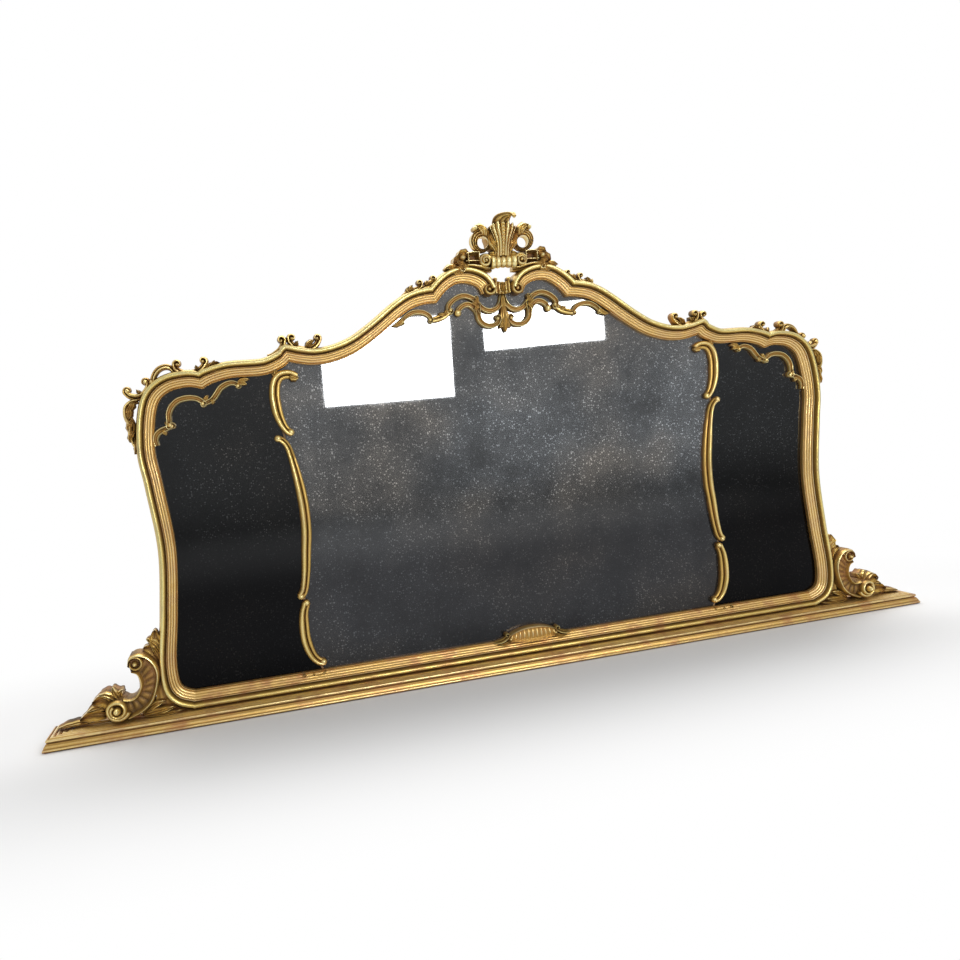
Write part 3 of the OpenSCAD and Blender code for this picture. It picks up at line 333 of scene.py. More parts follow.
# Old silvered plate: a mirror whose silver is kept dim, as painted shade that makes its reflections dark,
# and darkened towards the sill, partly as aged silvering and partly as painted shade over the floor's
# reflection, under a thin haze with a dusting of pale foxing specks
def silverPlate(name, foxing, haze, brightness):
    material, tree, shader = startMaterial(name)
    place = addNode(tree, "ShaderNodeTexCoord").outputs["Object"]
    height = addNode(tree, "ShaderNodeSeparateXYZ", {0: place}).outputs[2]
    fade = addNode(tree, "ShaderNodeMapRange", {
        "Value": height, "From Min": oldMirror["fadeLow"], "From Max": oldMirror["fadeHigh"]},
        interpolation_type="SMOOTHSTEP").outputs[0]
    clouds = addNode(tree, "ShaderNodeTexNoise", {"Vector": place, "Scale": 7, "Detail": 7,
                                                  "Roughness": 0.65}).outputs[0]
    wipePlace = addNode(tree, "ShaderNodeMapping", {"Vector": place, "Scale": (26, 26, 9)}).outputs[0]
    wipes = addNode(tree, "ShaderNodeTexNoise", {"Vector": wipePlace, "Scale": 1, "Detail": 6}).outputs[0]
    where = ramp(tree, clouds, [(0.36, grey(0.15)), (0.62, grey(1.0))])
    dots = 0.0
    for scale, spread in ((oldMirror["fineDots"], 0.52), (oldMirror["coarseDots"], 0.23)):
        cells = addNode(tree, "ShaderNodeTexVoronoi", {"Vector": place, "Scale": scale, "Randomness": 1.0})
        chosen = addNode(tree, "ShaderNodeSeparateColor", {0: cells.outputs["Color"]}).outputs[0]
        radius = sums(tree, "MULTIPLY_ADD", sums(tree, "POWER", chosen, 1.8), spread, -0.02)
        inside = sums(tree, "MULTIPLY", sums(tree, "SUBTRACT", radius, cells.outputs["Distance"]), 9.0)
        dots = sums(tree, "MAXIMUM", dots, inside)
    dots = addNode(tree, "ShaderNodeClamp", {0: dots}).outputs[0]
    grains = addNode(tree, "ShaderNodeTexNoise", {"Vector": place, "Scale": oldMirror["grains"],
                                                  "Detail": 1}).outputs[0]
    grains = ramp(tree, grains, [(0.50, grey(0.0)), (0.68, grey(0.45))])
    dots = sums(tree, "MAXIMUM", dots, grains)
    high = sums(tree, "MULTIPLY_ADD", fade, 0.78, 0.22)
    specks = sums(tree, "MULTIPLY", sums(tree, "MULTIPLY", dots, where),
                  sums(tree, "MULTIPLY", high, foxing))
    patchy = sums(tree, "MULTIPLY_ADD", where, 0.9, sums(tree, "MULTIPLY", wipes, 0.8))
    film = sums(tree, "MULTIPLY", patchy, sums(tree, "MULTIPLY", high, haze))
    cover = addNode(tree, "ShaderNodeClamp", {0: sums(tree, "ADD", specks, film)}).outputs[0]
    # Painted shade: the silver is scaled down by brightness, twice over at the sill, so side plates and
    # lower parts reflect darker
    low = tuple(part * brightness**2 for part in oldMirror["shadedLowSilver"])
    clear = tuple(part * brightness for part in oldMirror["silver"])
    silver = mixColours(tree, fade, (*low, 1), (*clear, 1))
    tree.links.new(silver, shader.inputs["Base Color"])
    shader.inputs["Metallic"].default_value = 1
    rough = ramp(tree, clouds, [(0.3, grey(0.01)), (0.8, grey(0.04))])
    tree.links.new(rough, shader.inputs["Roughness"])
    warm = addNode(tree, "ShaderNodeTexNoise", {"Vector": place, "Scale": 3.5, "Detail": 3}).outputs[0]
    warm = ramp(tree, warm, [(0.42, grey(0.0)), (0.60, grey(1.0))])
    dustColour = mixColours(tree, warm, (*oldMirror["coolDust"], 1), (*oldMirror["warmDust"], 1))
    dust = addNode(tree, "ShaderNodeBsdfDiffuse", {"Color": dustColour})
    mixed = addNode(tree, "ShaderNodeMixShader", {0: cover, 1: shader.outputs[0], 2: dust.outputs[0]})
    tree.links.new(mixed.outputs[0], tree.nodes["Material Output"].inputs["Surface"])
    return material


pine = {"pale": (0.42, 0.27, 0.14), "dark": (0.20, 0.115, 0.055), "stain": (0.10, 0.06, 0.035)}


# Bare softwood: rings drawn out along the grain, darkened with age in soft patches
def bareWood(name, along):
    material, tree, shader = startMaterial(name)
    place = addNode(tree, "ShaderNodeTexCoord").outputs["Object"]
    stretch = {"x": (1.2, 30, 30), "z": (30, 30, 1.2)}[along]
    grainPlace = addNode(tree, "ShaderNodeMapping", {"Vector": place, "Scale": stretch}).outputs[0]
    grain = addNode(tree, "ShaderNodeTexNoise", {"Vector": grainPlace, "Scale": 3, "Detail": 8,
                                                "Distortion": 0.8}).outputs[0]
    rings = addNode(tree, "ShaderNodeTexWave", {"Vector": grainPlace, "Scale": 0.7, "Distortion": 6,
                                               "Detail": 3}).outputs["Fac"]
    stain = addNode(tree, "ShaderNodeTexNoise", {"Vector": place, "Scale": 5, "Detail": 4}).outputs[0]
    lines = sums(tree, "MULTIPLY_ADD", grain, 0.7, sums(tree, "MULTIPLY", rings, 0.35))
    colour = ramp(tree, lines, [(0.25, pine["dark"]), (0.75, pine["pale"])])
    aged = ramp(tree, stain, [(0.42, grey(0.0)), (0.8, grey(0.7))])
    colour = mixColours(tree, aged, colour, (*pine["stain"], 1))
    tree.links.new(colour, shader.inputs["Base Color"])
    shader.inputs["Roughness"].default_value = 0.75
    bump = addNode(tree, "ShaderNodeBump", {"Height": lines, "Strength": 0.4, "Distance": 0.0008})
    tree.links.new(bump.outputs[0], shader.inputs["Normal"])
    return material


# Sheet or turned metal, dulled in patches and finely scratched
def dullMetal(name, bright, dull, roughness):
    material, tree, shader = startMaterial(name)
    place = addNode(tree, "ShaderNodeTexCoord").outputs["Object"]
    patches = addNode(tree, "ShaderNodeTexNoise", {"Vector": place, "Scale": 90, "Detail": 5}).outputs[0]
    scratchPlace = addNode(tree, "ShaderNodeMapping", {"Vector": place, "Scale": (60, 60, 2500)}).outputs[0]
    scratches = addNode(tree, "ShaderNodeTexNoise",
                        {"Vector": scratchPlace, "Scale": 1, "Detail": 3}).outputs[0]
    colour = mixColours(tree, ramp(tree, patches, [(0.4, grey(0.0)), (0.7, grey(1.0))]), (*bright, 1),
                        (*dull, 1))
    tree.links.new(colour, shader.inputs["Base Color"])
    shader.inputs["Metallic"].default_value = 1
    rough = sums(tree, "MULTIPLY_ADD", patches, 0.25, roughness)
    tree.links.new(rough, shader.inputs["Roughness"])
    bump = addNode(tree, "ShaderNodeBump", {"Height": scratches, "Strength": 0.15, "Distance": 0.0003})
    tree.links.new(bump.outputs[0], shader.inputs["Normal"])
    return material


finishes = {
    "bright_gilding": goldLeaf("brightGilding", wear=0.35),
    "bole_gilding": goldLeaf("boleGilding", wear=0.75, chips=0.004, darker=0.04),
    "antique_gilding": goldLeaf("antiqueGilding", wear=0.45, darker=-0.05),
}
print("finishes made")


# Gives a piece its slot and finish, hangs it on the root body and hides the node that it stands for
def gild(piece, node, slotName):
    piece.data.materials.append(finishes[slotName])
    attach(piece, "root")
    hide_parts(node)


strandSteps = 6    # steps from each point that a strand is drawn through to the next
hook = {
    "degrees": 285,      # how far a strand turns round its eye
    "tighten": 0.62,     # share of the eye's radius that is lost on the way
    "thin": 0.42,        # and of the strand's width
    "knob": {"hollow": 0.38, "ridged": 0.27},    # radius of the dome in the eye, in widths of the strand
}
strandShape = {"wall": 0.35, "ridgeAt": -0.42, "rimAt": 0.58, "rimRise": 0.5}


# Section of a scroll strand: upright walls, a rounded ridge on the left and a lower rounded face to its
# right. Its tone is a painted highlight along the crown of the ridge and of the face, falling to painted
# shade on the walls
def strandSection(look):
    angle = np.linspace(0, np.pi, 12)
    ridgeHalf = 1 + look["ridgeAt"]
    ridge = np.stack([look["ridgeAt"] - ridgeHalf * np.cos(angle), np.sin(angle)**0.85,
                      0.22 + 0.66 * np.sin(angle)**1.5], 1)
    rimHalf = 1 - look["rimAt"]
    rim = np.stack([look["rimAt"] - rimHalf * np.cos(angle[::2]), look["rimRise"] * np.sin(angle[::2])**0.8,
                    0.26 + 0.42 * np.sin(angle[::2])], 1)
    face = np.vstack([ridge[:-1], rim])
    face[:, 1] = look["wall"] + (1 - look["wall"]) * face[:, 1]
    return np.vstack([(-1, 0, 0.25), face, (1, look["wall"], 0.25), (1, 0, 0.25)])


# Section of a fret strand: a hollow between two raised rims, with painted highlights on the rims and
# painted shade in the hollow and on the walls
def fretSection():
    across = np.linspace(-1, 1, 17)
    rims = np.exp(-((np.abs(across) - 0.70) / 0.25)**2)
    return np.vstack([(-1, 0, 0.15), np.stack([across, 0.55 + 0.45 * rims, 0.48 + 0.62 * rims], 1),
                      (1, 0, 0.15)])


sections = {"ridged": strandSection(strandShape), "hollow": fretSection()}


# A length of strand: its section is carried along the path and swells in the middle
def strand(points, width, top, thin=(0.6, 0.6), foot=0.0):
    path = smoothCurve(points, strandSteps)
    along = lengthAlong(path)
    size = swell(along / along[-1], thin)
    return carried(path, size, np.zeros(len(path)), width, top, foot, "ridged")


# Carries a section along a path; lift raises the tightening turns of an eye above the strand beside them
def carried(path, size, lift, width, top, foot, section):
    across, rise, shade = sections[section].T
    aside = outwardOf(path) * (size * width / 2)[:, None]
    flat = path[:, None, :] + aside[:, None, :] * across[None, :, None]
    height = foot + rise[None, :] * ((top - foot) * (0.6 + 0.4 * size) * (1 + 0.25 * lift))[:, None]
    flow = np.stack(np.broadcast_arrays(lengthAlong(path)[:, None], across[None, :] * width / 2), -1)
    return tubePart(stand(flat, height), shade[None, :], flow)


# The turns that a path makes round a small eye, tightening as they go; sense is 1 to the left and
# -1 to the right
def hookOn(path, sense, radius):
    heading = headingOf(path)[-1]
    aside = np.array([-heading[1], heading[0]]) * sense
    share = np.linspace(0, 1, 15)[1:, None]
    angle = sense * np.radians(hook["degrees"]) * share
    square = np.array([aside[1], -aside[0]])
    ring = (square * np.sin(angle) - aside * np.cos(angle)) * radius
    return path[-1] + aside * radius + ring * (1 - hook["tighten"] * share)


# A strand that hooks round an eye at either end, or at neither; each eye holds a small dome
def scroll(points, width, top, ends=(0, 0), thin=(0.8, 0.8), foot=0.0, eye=4.2, section="ridged"):
    knob = width * hook["knob"][section]
    path = smoothCurve(points, strandSteps)
    along = lengthAlong(path)
    size = swell(along / along[-1], thin)
    lift = np.zeros(len(path))
    parts = []
    for sense in ends:
        path, size, lift = path[::-1], size[::-1], lift[::-1]
        if sense:
            tail = hookOn(path, sense, eye)
            share = np.linspace(0, 1, len(tail))
            path = np.vstack([path, tail])
            size = np.concatenate([size, size[-1] * (1 - hook["thin"] * share)])
            lift = np.concatenate([lift, share])
            parts.append(dome(tail[-1], knob, top * 1.06, foot))
    parts.append(carried(path, size, lift, width, top, foot, section))
    return parts


# Rounded cap on an upright wall: its height goes by cos(lean), its radius by sin(lean). Its tone is a
# painted highlight on the crown falling to painted shade at the rim; a low shade paints the whole dome
# darker
def dome(centre, radius, top, foot=0.0, shade=0.92):
    lean = np.linspace(0.08, np.pi / 2, 8)
    ring = np.concatenate([np.sin(lean), [1.0]])[:, None]
    height = np.concatenate([0.5 + 0.5 * np.cos(lean), [0.0]])[:, None] * np.ones((1, 28))
    turn = np.linspace(0, 2 * np.pi, 28, endpoint=False)[None, :]
    spread = np.stack([np.cos(turn) * ring, np.sin(turn) * ring], -1) * radius
    tone = np.concatenate([0.15 + (shade - 0.15) * np.cos(lean)**0.6, [0.12]])[:, None]
    centre = np.asarray(centre, float)
    hubs = [stand(centre, top), stand(centre, foot)]
    return tubePart(stand(centre + spread, foot + height * (top - foot)), tone, spread, hubs)


# A leaf lobe: its spine bows to one side, and its width swells and closes round its tip with notched edges.
# Its face falls from a middle rib to thin edges, with veins that fan out between, or is cupped between
# raised edges. Its tone is painted light and shade: a flat lobe is highlit along its rib and shaded at its
# edges, a cupped lobe is highlit on its raised edges and shaded in its hollow, the veins are light and dark
# in turn, and the tone grows a little towards the tip
def leaf(root, tip, halfWidth, top, foot=0.0, bow=0.1, curl=0.0, veins=3, cup=False):
    root, tip = np.asarray(root, float), np.asarray(tip, float)
    s = np.linspace(0, 1, 21)
    q = np.linspace(-1, 1, 17)
    length = tip - root
    aside = np.array([length[1], -length[0]])
    spine = root + s[:, None] * length + (bow * np.sin(np.pi * s))[:, None] * aside
    half = halfWidth * (0.55 + 0.45 * np.sin(np.pi * s**0.9)) * (1.0005 - s**4)**0.5
    half = half * (1 + 0.09 * np.cos(6 * np.pi * s))
    vein = np.cos(veins * np.pi * (q[None, :] + 0.2 * s[:, None] * np.sign(q)[None, :]))
    if cup:
        face = 0.74 + 0.26 * np.abs(q[None, :])**2.5 + 0.02 * vein
        shade = 0.22 + 0.68 * np.abs(q[None, :])**2 + 0.1 * vein + 0.1 * s[:, None]
    else:
        face = 1 - 0.36 * q[None, :]**2 + 0.06 * vein
        shade = 0.58 - 0.34 * q[None, :]**2 + 0.34 * vein + 0.12 * s[:, None]
    swellUp = 0.80 + 0.20 * np.sin(np.pi * s**0.7) + curl * s**3
    rise = face * swellUp[:, None]
    q = np.concatenate([[-1], q, [1]])
    rise = np.pad(rise, ((0, 0), (1, 1)))
    shade = np.pad(shade, ((0, 0), (1, 1)), constant_values=0.0)
    flat = spine[:, None, :] + (outwardOf(spine) * half[:, None])[:, None, :] * q[None, :, None]
    reach = np.linalg.norm(length)
    flow = np.stack(np.broadcast_arrays((s * reach)[:, None], q[None, :] * halfWidth), -1)
    return tubePart(stand(flat, foot + rise * (top - foot)), shade, flow)


# A face stretched between two curves, with its own heights and tones, closed by sides and a flat back
def band(first, second, height, shade, foot):
    t = np.linspace(0, 1, height.shape[1])
    flat = first[:, None, :] * (1 - t)[None, :, None] + second[:, None, :] * t[None, :, None]
    flat = np.concatenate([flat[:, :1], flat, flat[:, -1:]], 1)
    height = np.pad(height, ((0, 0), (1, 1)), constant_values=foot)
    shade = np.pad(shade, ((0, 0), (1, 1)), constant_values=0.3)
    width = np.linalg.norm(first - second, axis=1).mean()
    across = np.concatenate([[0], t, [1]]) * width
    flow = np.stack(np.broadcast_arrays(lengthAlong(first)[:, None], across[None, :]), -1)
    return tubePart(stand(flat, height), shade, flow)


# A strand wound in towards an eye, rising as it goes, with a painted highlight along its crown and
# painted shade down its sides
def winding(centre, outerR, innerR, turns, startDegrees, width, low, high, sense=1, foot=0.0):
    share = np.linspace(0, 1, int(turns * 22))
    radius = outerR + (innerR - outerR) * share**0.85
    angle = np.radians(startDegrees) + sense * 2 * np.pi * turns * share
    path = np.asarray(centre, float) + np.stack([np.cos(angle), np.sin(angle)], 1) * radius[:, None]
    angleAcross = np.linspace(0, np.pi, 11)
    across = np.concatenate([[-1], -np.cos(angleAcross), [1]])
    crown = np.sin(angleAcross)**0.8
    rise = np.concatenate([[0], 0.6 + 0.4 * crown, [0]])
    shade = np.concatenate([[0.1], 0.06 + 0.84 * crown**1.8, [0.1]])
    half = width / 2 * (1 - 0.35 * share)
    flat = path[:, None, :] + (outwardOf(path) * half[:, None])[:, None, :] * across[None, :, None]
    top = low + (high - low) * share
    height = foot + rise[None, :] * (top - foot)[:, None]
    flow = np.stack(np.broadcast_arrays(lengthAlong(path)[:, None], across[None, :] * width / 2), -1)
    return tubePart(stand(flat, height), shade[None, :], flow)


def around(point, offsets):
    return [np.asarray(point, float) + np.asarray(offset, float) for offset in offsets]


# Multiplies x by the side, 1 for the right and -1 for the left
def onSide(parts, side):
    for part in parts:
        part["points"][:, 0] *= side
    return parts


# Takes a share of the dark, which is partly painted shade, out of the hollows
def lifted(parts, share):
    for part in parts:
        part["tone"] = part["tone"] + share * (1 - part["tone"])
    return parts


def spray(root, tips, halfWidth, top, bow=0.12):
    return [leaf(root, np.asarray(root) + np.asarray(tip), halfWidth, top, bow=bow) for tip in tips]


moulding = {
    "lipH": 9,           # height of the sight edge
    "slopeFrom": (2.4, 8.8),
    "slopeTo": (13.8, 17.0),
    "reeds": 3,          # reeds on the slope
    "reedDepth": 0.9,
    "beadU": 22.6,       # middle of the round bead, across and up
    "beadH": 24.0,
    "beadR": 4.0,
    "rebateW": 8,
    "outerH": 12,        # where the outer slope meets the side
    "lift": 0.42,        # share of the dark taken out of the grooves
}


# Section from the sight edge outwards: a fine lip, a reeded slope, a fillet, a quirk and a round bead.
# The third column is the tone: painted shade in the quirk, between the reeds and down the outer side and
# back, and a painted highlight along the bead's upper side and the lip's edge
def mouldingSection(look):
    lip = np.array([(0, 0, 0.15), (0, 6.5, 0.3), (0.2, 8.6, 0.7), (0.9, 9.4, 0.95), (1.7, 9.0, 0.7),
                    (2.1, 8.4, 0.2)])
    turn = np.linspace(0, 1, look["reeds"] * 8 + 1)
    reed = np.abs(np.sin(np.pi * look["reeds"] * turn))
    slopeU = look["slopeFrom"][0] + (look["slopeTo"][0] - look["slopeFrom"][0]) * turn
    slopeH = look["slopeFrom"][1] + (look["slopeTo"][1] - look["slopeFrom"][1]) * turn
    slopeH = slopeH + look["reedDepth"] * reed
    slope = np.stack([slopeU, slopeH, 0.26 + 0.56 * reed**0.8], 1)
    fillet = np.array([(14.1, 16.8, 0.15), (14.6, 18.8, 0.85), (15.5, 19.8, 1.0), (16.4, 19.0, 0.8),
                       (16.8, 17.4, 0.3), (17.5, 16.6, 0.25), (18.1, 17.4, 0.25)])
    angle = np.radians(np.linspace(195, -30, 17))
    bead = np.stack([look["beadU"] + look["beadR"] * np.cos(angle),
                     look["beadH"] + look["beadR"] * np.sin(angle),
                     0.14 + 0.76 * np.clip(np.sin(angle + 0.25), 0, 1)**1.5], 1)
    outer = np.array([(26.8, 20.2, 0.25), (27.6, 18.2, 0.3), (28.4, 15, 0.3), (mouldW, look["outerH"], 0.2),
                      (mouldW, 6, 0.15), (mouldW, -6, 0.12), (mouldW, -frameBack, 0.1),
                      (look["rebateW"], -frameBack, 0.1), (look["rebateW"], 0, 0.1)])
    return np.vstack([lip, slope, fillet, bead, outer])


section = mouldingSection(moulding)
sectionHub = np.array([17.0, 5.0])


# Carries the section along a path; each ring is cut off level with the top of the base
def mouldingPart(path, normals):
    u = np.broadcast_to(section[:, 0], (len(path), len(section))).copy()
    falling = normals[:, 1] < -0.01
    reach = (path[falling, 1] - baseH) / -normals[falling, 1]
    u[falling] = np.minimum(u[falling], reach[:, None])
    flat = path[:, None, :] + u[..., None] * normals[:, None, :]
    rings = stand(flat, section[:, 1][None, :])
    flow = np.stack(np.broadcast_arrays(lengthAlong(path)[:, None], section[:, 0][None, :]), -1)
    hubs = [stand(path[k] + sectionHub[0] * normals[k], sectionHub[1]) for k in (0, -1)]
    part = tubePart(rings, section[:, 2][None, :], flow, hubs)
    warm = np.broadcast_to(np.where(section[:, 0] < 17.5, 0.95, 0.1)[None, :], rings.shape[:2])
    part["warmth"] = np.concatenate([warm.ravel(), [0.5, 0.5]])
    return lifted([part], moulding["lift"])[0]


# Half way between two directions, and long enough to reach the mitre: m / (m . a)
def mitreOf(a, b):
    middle = (a + b) / np.linalg.norm(a + b)
    return middle / (middle @ a)


# Square to the path, leaning over into the mitres within one width of its two ends
def mitredNormals(path, first, last):
    heading, out = headingOf(path), outwardOf(path)
    nearFirst = np.clip(1 - np.linalg.norm(path - path[0], axis=1) / mouldW, 0, 1)
    nearLast = np.clip(1 - np.linalg.norm(path - path[-1], axis=1) / mouldW, 0, 1)
    lean = (first @ heading[0]) * nearFirst + (last @ heading[-1]) * nearLast
    normals = out + heading * lean[:, None]
    normals[0], normals[-1] = first, last
    return normals


waist = opening["waistIn"]
span = shoulderZ - sightZ
sightPaths = {
    "stile": [(opening["bottomX"], sightZ), (sideX - 3, sightZ + 8), (sideX + 4, sightZ + 24),
              (sideX + 4, sightZ + 62), (sideX - 0.4 * waist, sightZ + 0.267 * span),
              (sideX - waist, sightZ + 0.48 * span), (sideX - 0.4 * waist, sightZ + 0.692 * span),
              (sideX, shoulderZ - 97), (sideX - 10, shoulderZ - 31), (sideX - 30, shoulderZ - 6),
              (sideX - 62, shoulderZ + 1), (sideX - 87, shoulderZ - 4)],
    "shoulder_rail": [(sideX - 87, shoulderZ - 4), (sideX - 100, shoulderZ + 3),
                      (sideX - 121, shoulderZ + 9), (sideX - 141, shoulderZ + 11.5),
                      (cuspX + 52, cuspZ - 20.5), (cuspX + 31, cuspZ - 17), (cuspX + 10, cuspZ - 8),
                      (cuspX, cuspZ)],
    "arch_rail": [(cuspX, cuspZ), (cuspX - 20, cuspZ - 5), (cuspX - 45, cuspZ - 8), (cuspX - 79, cuspZ - 4),
                  (cuspX - 119, cuspZ + 10), (crownX + 112, crownZ - 52.5), (crownX + 72, crownZ - 23),
                  (crownX + 45, crownZ - 7), (crownX + 20, crownZ - 1), (crownX, crownZ)],
    "crown_rail": [(crownX, crownZ), (crownX - 9, crownZ + 11), (crownX - 22, crownZ + 23),
                   (crownX - 38, crownZ + 32), (crownX - 54, crownZ + 33.5), (crownX - 69, crownZ + 30),
                   (crownX - 80, crownZ + 23), (crownX - 86, crownZ + 11)],
}
railPaths = {name: smoothCurve(points, 8) for name, points in sightPaths.items()}
names = list(railPaths)
startOut = {name: outwardOf(railPaths[name])[0] for name in names}
endOut = {name: outwardOf(railPaths[name])[-1] for name in names}
mitres = [np.array([0, -1.0])]
mitres += [mitreOf(endOut[a], startOut[b]) for a, b in zip(names[:-1], names[1:])]
mitres += [endOut["crown_rail"]]
railNormals = {name: mitredNormals(railPaths[name], mitres[k], mitres[k + 1])
               for k, name in enumerate(names)}


baseLook = {
    "ends": [(4.0, 0, 0.1), (2.4, 0.7, 0.15), (0.8, 1.6, 0.4), (0, 3.2, 0.95), (0.1, 4.6, 1.0),
             (0.9, 5.8, 0.7), (1.8, 6.3, 0.15)],
    "hollow": [(2.0, 7.0, 0.3), (2.3, 8.2, 0.65), (2.9, 9.8, 0.85), (3.9, 11.2, 0.5), (4.6, 11.8, 0.2),
               (4.9, 12.8, 0.5), (5.9, 13.6, 0.4), (7.3, 14.0, 0.15), (7.3, 14.9, 0.12)],
    "topBead": [(6.2, 15.6, 0.6), (5.4, 17.0, 0.95), (5.5, 18.6, 1.0), (6.4, 19.9, 0.85), (7.8, 20.4, 0.25),
                (8.8, 20.2, 0.15)],
    "reedsFrom": 9.2,
    "reedsTo": 48.5,
    "reeds": 5,
    "reedDepth": 2.9,
    "lift": 0.30,
    "lastBead": [(0.6, -0.6, 0.15), (1.2, 0.8, 0.6), (2.6, 2.2, 0.95), (4.2, 2.2, 0.95), (5.6, 0.6, 0.4),
                 (6.2, 0, 0.3)],
}


# The base's profile runs in from its nose: a nose bead, a hollow, an upper bead, and reeds across its top.
# Its third column is the tone: painted highlights on the beads and the reed crowns, painted shade in the
# hollow and between the reeds
def basePart(look):
    inward = np.linspace(look["reedsFrom"], look["reedsTo"], look["reeds"] * 6 + 1)
    turn = (inward - inward[0]) / (inward[-1] - inward[0])
    reed = np.abs(np.sin(np.pi * look["reeds"] * turn))
    reeds = np.stack([inward, baseH - 0.3 - look["reedDepth"] * (1 - reed), 0.16 + 0.82 * reed**0.9], 1)
    inner = [(look["reedsTo"] + depth, baseH + rise, shade) for depth, rise, shade in look["lastBead"]]
    profile = np.vstack([look["ends"], look["hollow"], look["topBead"], reeds, inner])
    halfW, nose, wall = plinthHigh[0], plinthLow[1], plinthHigh[1]
    stations = np.array([(-halfW, wall), (-halfW, nose), (halfW, nose), (halfW, wall)])
    inwardTo = np.array([(1, 0), (1, 1), (-1, 1), (-1, 0)])
    flat = stations[:, None, :] + profile[None, :, :1] * inwardTo[:, None, :]
    z = np.broadcast_to(profile[:, 1], flat.shape[:2])
    points = np.concatenate([flat, z[..., None]], -1)
    count = len(profile)
    i = (np.arange(3) * count)[:, None]
    j = np.arange(count - 1)[None, :]
    quads = np.stack([i + j, i + count + j, i + count + j + 1, i + j + 1], -1).reshape(-1, 4)
    sides = [[k * count for k in range(4)][::-1], [k * count + count - 1 for k in range(4)]]
    # The back is closed in strips between the two ends of the run
    low, high = np.arange(count - 1), 3 * count + np.arange(count - 1)
    back = np.stack([low, low + 1, high + 1, high], 1)
    along = np.array([0, wall - nose, wall - nose + 2 * halfW, 2 * (wall - nose) + 2 * halfW])
    across = np.concatenate([[0], np.cumsum(np.linalg.norm(np.diff(profile[:, :2], axis=0), axis=1))])
    flow = np.stack(np.broadcast_arrays(along[:, None], across[None, :]), -1)
    return {
        "points": points.reshape(-1, 3),
        "quads": np.vstack([quads, np.array(sides), back]),
        "fans": np.zeros((0, 3), int),
        "tone": np.broadcast_to(profile[:, 2], (4, count)).ravel(),
        "flow": flow.reshape(-1, 2),
        "warmth": 0.75,
    }


gild(makePiece("gilt_base", lifted([basePart(baseLook)], baseLook["lift"]), sharpAngle=50), "base_plinth",
     "bole_gilding")

bottomPath = np.array([(-opening["bottomX"], sightZ), (opening["bottomX"], sightZ)], float)
bottomRail = mouldingPart(bottomPath, np.array([(0, -1.0), (0, -1.0)]))
gild(makePiece("gilt_bottom_rail", [bottomRail]), "bottom_rail", "bole_gilding")

for sideName, side in (("left", -1), ("right", 1)):
    for name in names:
        parts = [mouldingPart(railPaths[name], railNormals[name])]
        if name == "crown_rail":
            eye = railPaths[name][-1] + [-13, 8]
            # The wide dome under the coil has a low tone, painted shade between the turns
            parts += [winding(eye, 10, 7, 0.95, 150, 6.5, 27, 21, 1, 0), dome(eye, 5.4, 22),
                      dome(eye, 12, 14, 0, 0.5)]
        gild(makePiece(f"gilt_{sideName}_{name}", parts, side), f"{sideName}_{name}", "bright_gilding")
print("base and mouldings made")


divider = {"width": 18, "height": 15, "knob": 6.2}
fret = {"width": 10.5, "height": 10}
cresting = {"width": 12.5, "height": 20}


def upDivider(share):
    return sightZ + share * (cuspZ - sightZ)


def dividerTop():
    w, h = divider["width"], divider["height"]
    parts = [strand(around(cusp, [(-9, -27), (0, -22), (11, -21), (21, -25), (28, -36), (31, -54),
                                  (30.5, -72), (28, -90), (22, -108), (15, -119), (8, -124)]), w + 1, h,
                    (0.8, 0.66))]
    parts += [leaf(cusp + [2, -24], cusp + [-13, -28], 8, h - 1, bow=-0.1),
              dome(cusp + [10, -122], divider["knob"], 0.88 * h)]
    parts += spray(cusp + [20, -24], [(6, 14), (12, 8)], 5, h - 3)
    return parts


def dividerMiddle():
    w, h = divider["width"], divider["height"]
    run = [(cuspX + 35, cuspZ - 131), (cuspX + 27, cuspZ - 134), (cuspX + 18, cuspZ - 146),
           (cuspX + 12, cuspZ - 170), (cuspX + 6, upDivider(0.624)), (cuspX + 1, upDivider(0.54)),
           (cuspX + 1, upDivider(0.46)), (cuspX + 5, upDivider(0.394)), (cuspX + 9, upDivider(0.327)),
           (cuspX + 15, sightZ + 148), (cuspX + 22, sightZ + 136)]
    return [strand(run, w, h, (0.62, 0.8)), dome((cuspX + 33, cuspZ - 131), divider["knob"], 0.86 * h),
            dome((cuspX + 22, sightZ + 136), divider["knob"], 0.88 * h)]


def dividerFoot():
    w, h = divider["width"], divider["height"]
    run = [(cuspX + 14, sightZ + 124), (cuspX + 20, sightZ + 106), (cuspX + 22, sightZ + 84),
           (cuspX + 21, sightZ + 56), (cuspX + 14, sightZ + 31), (cuspX + 4, sightZ + 17),
           (cuspX - 6, sightZ + 13)]
    return [strand(run, w, h, (0.8, 0.75)), dome((cuspX - 5, sightZ + 13.5), divider["knob"], 0.88 * h),
            dome((cuspX + 14, sightZ + 123), divider["knob"], 0.88 * h)]


def footCurls():
    h = moulding["lipH"] + 6
    parts = scroll([(cuspX - 8, sightZ - 4), (cuspX + 2, sightZ - 9), (cuspX + 14, sightZ - 9)], 6, h,
                   (0, 1), eye=3.4)
    parts += scroll([(cuspX + 48, sightZ - 6), (cuspX + 40, sightZ - 10), (cuspX + 31, sightZ - 9)], 6, h,
                    (0, -1), eye=3.4)
    return parts


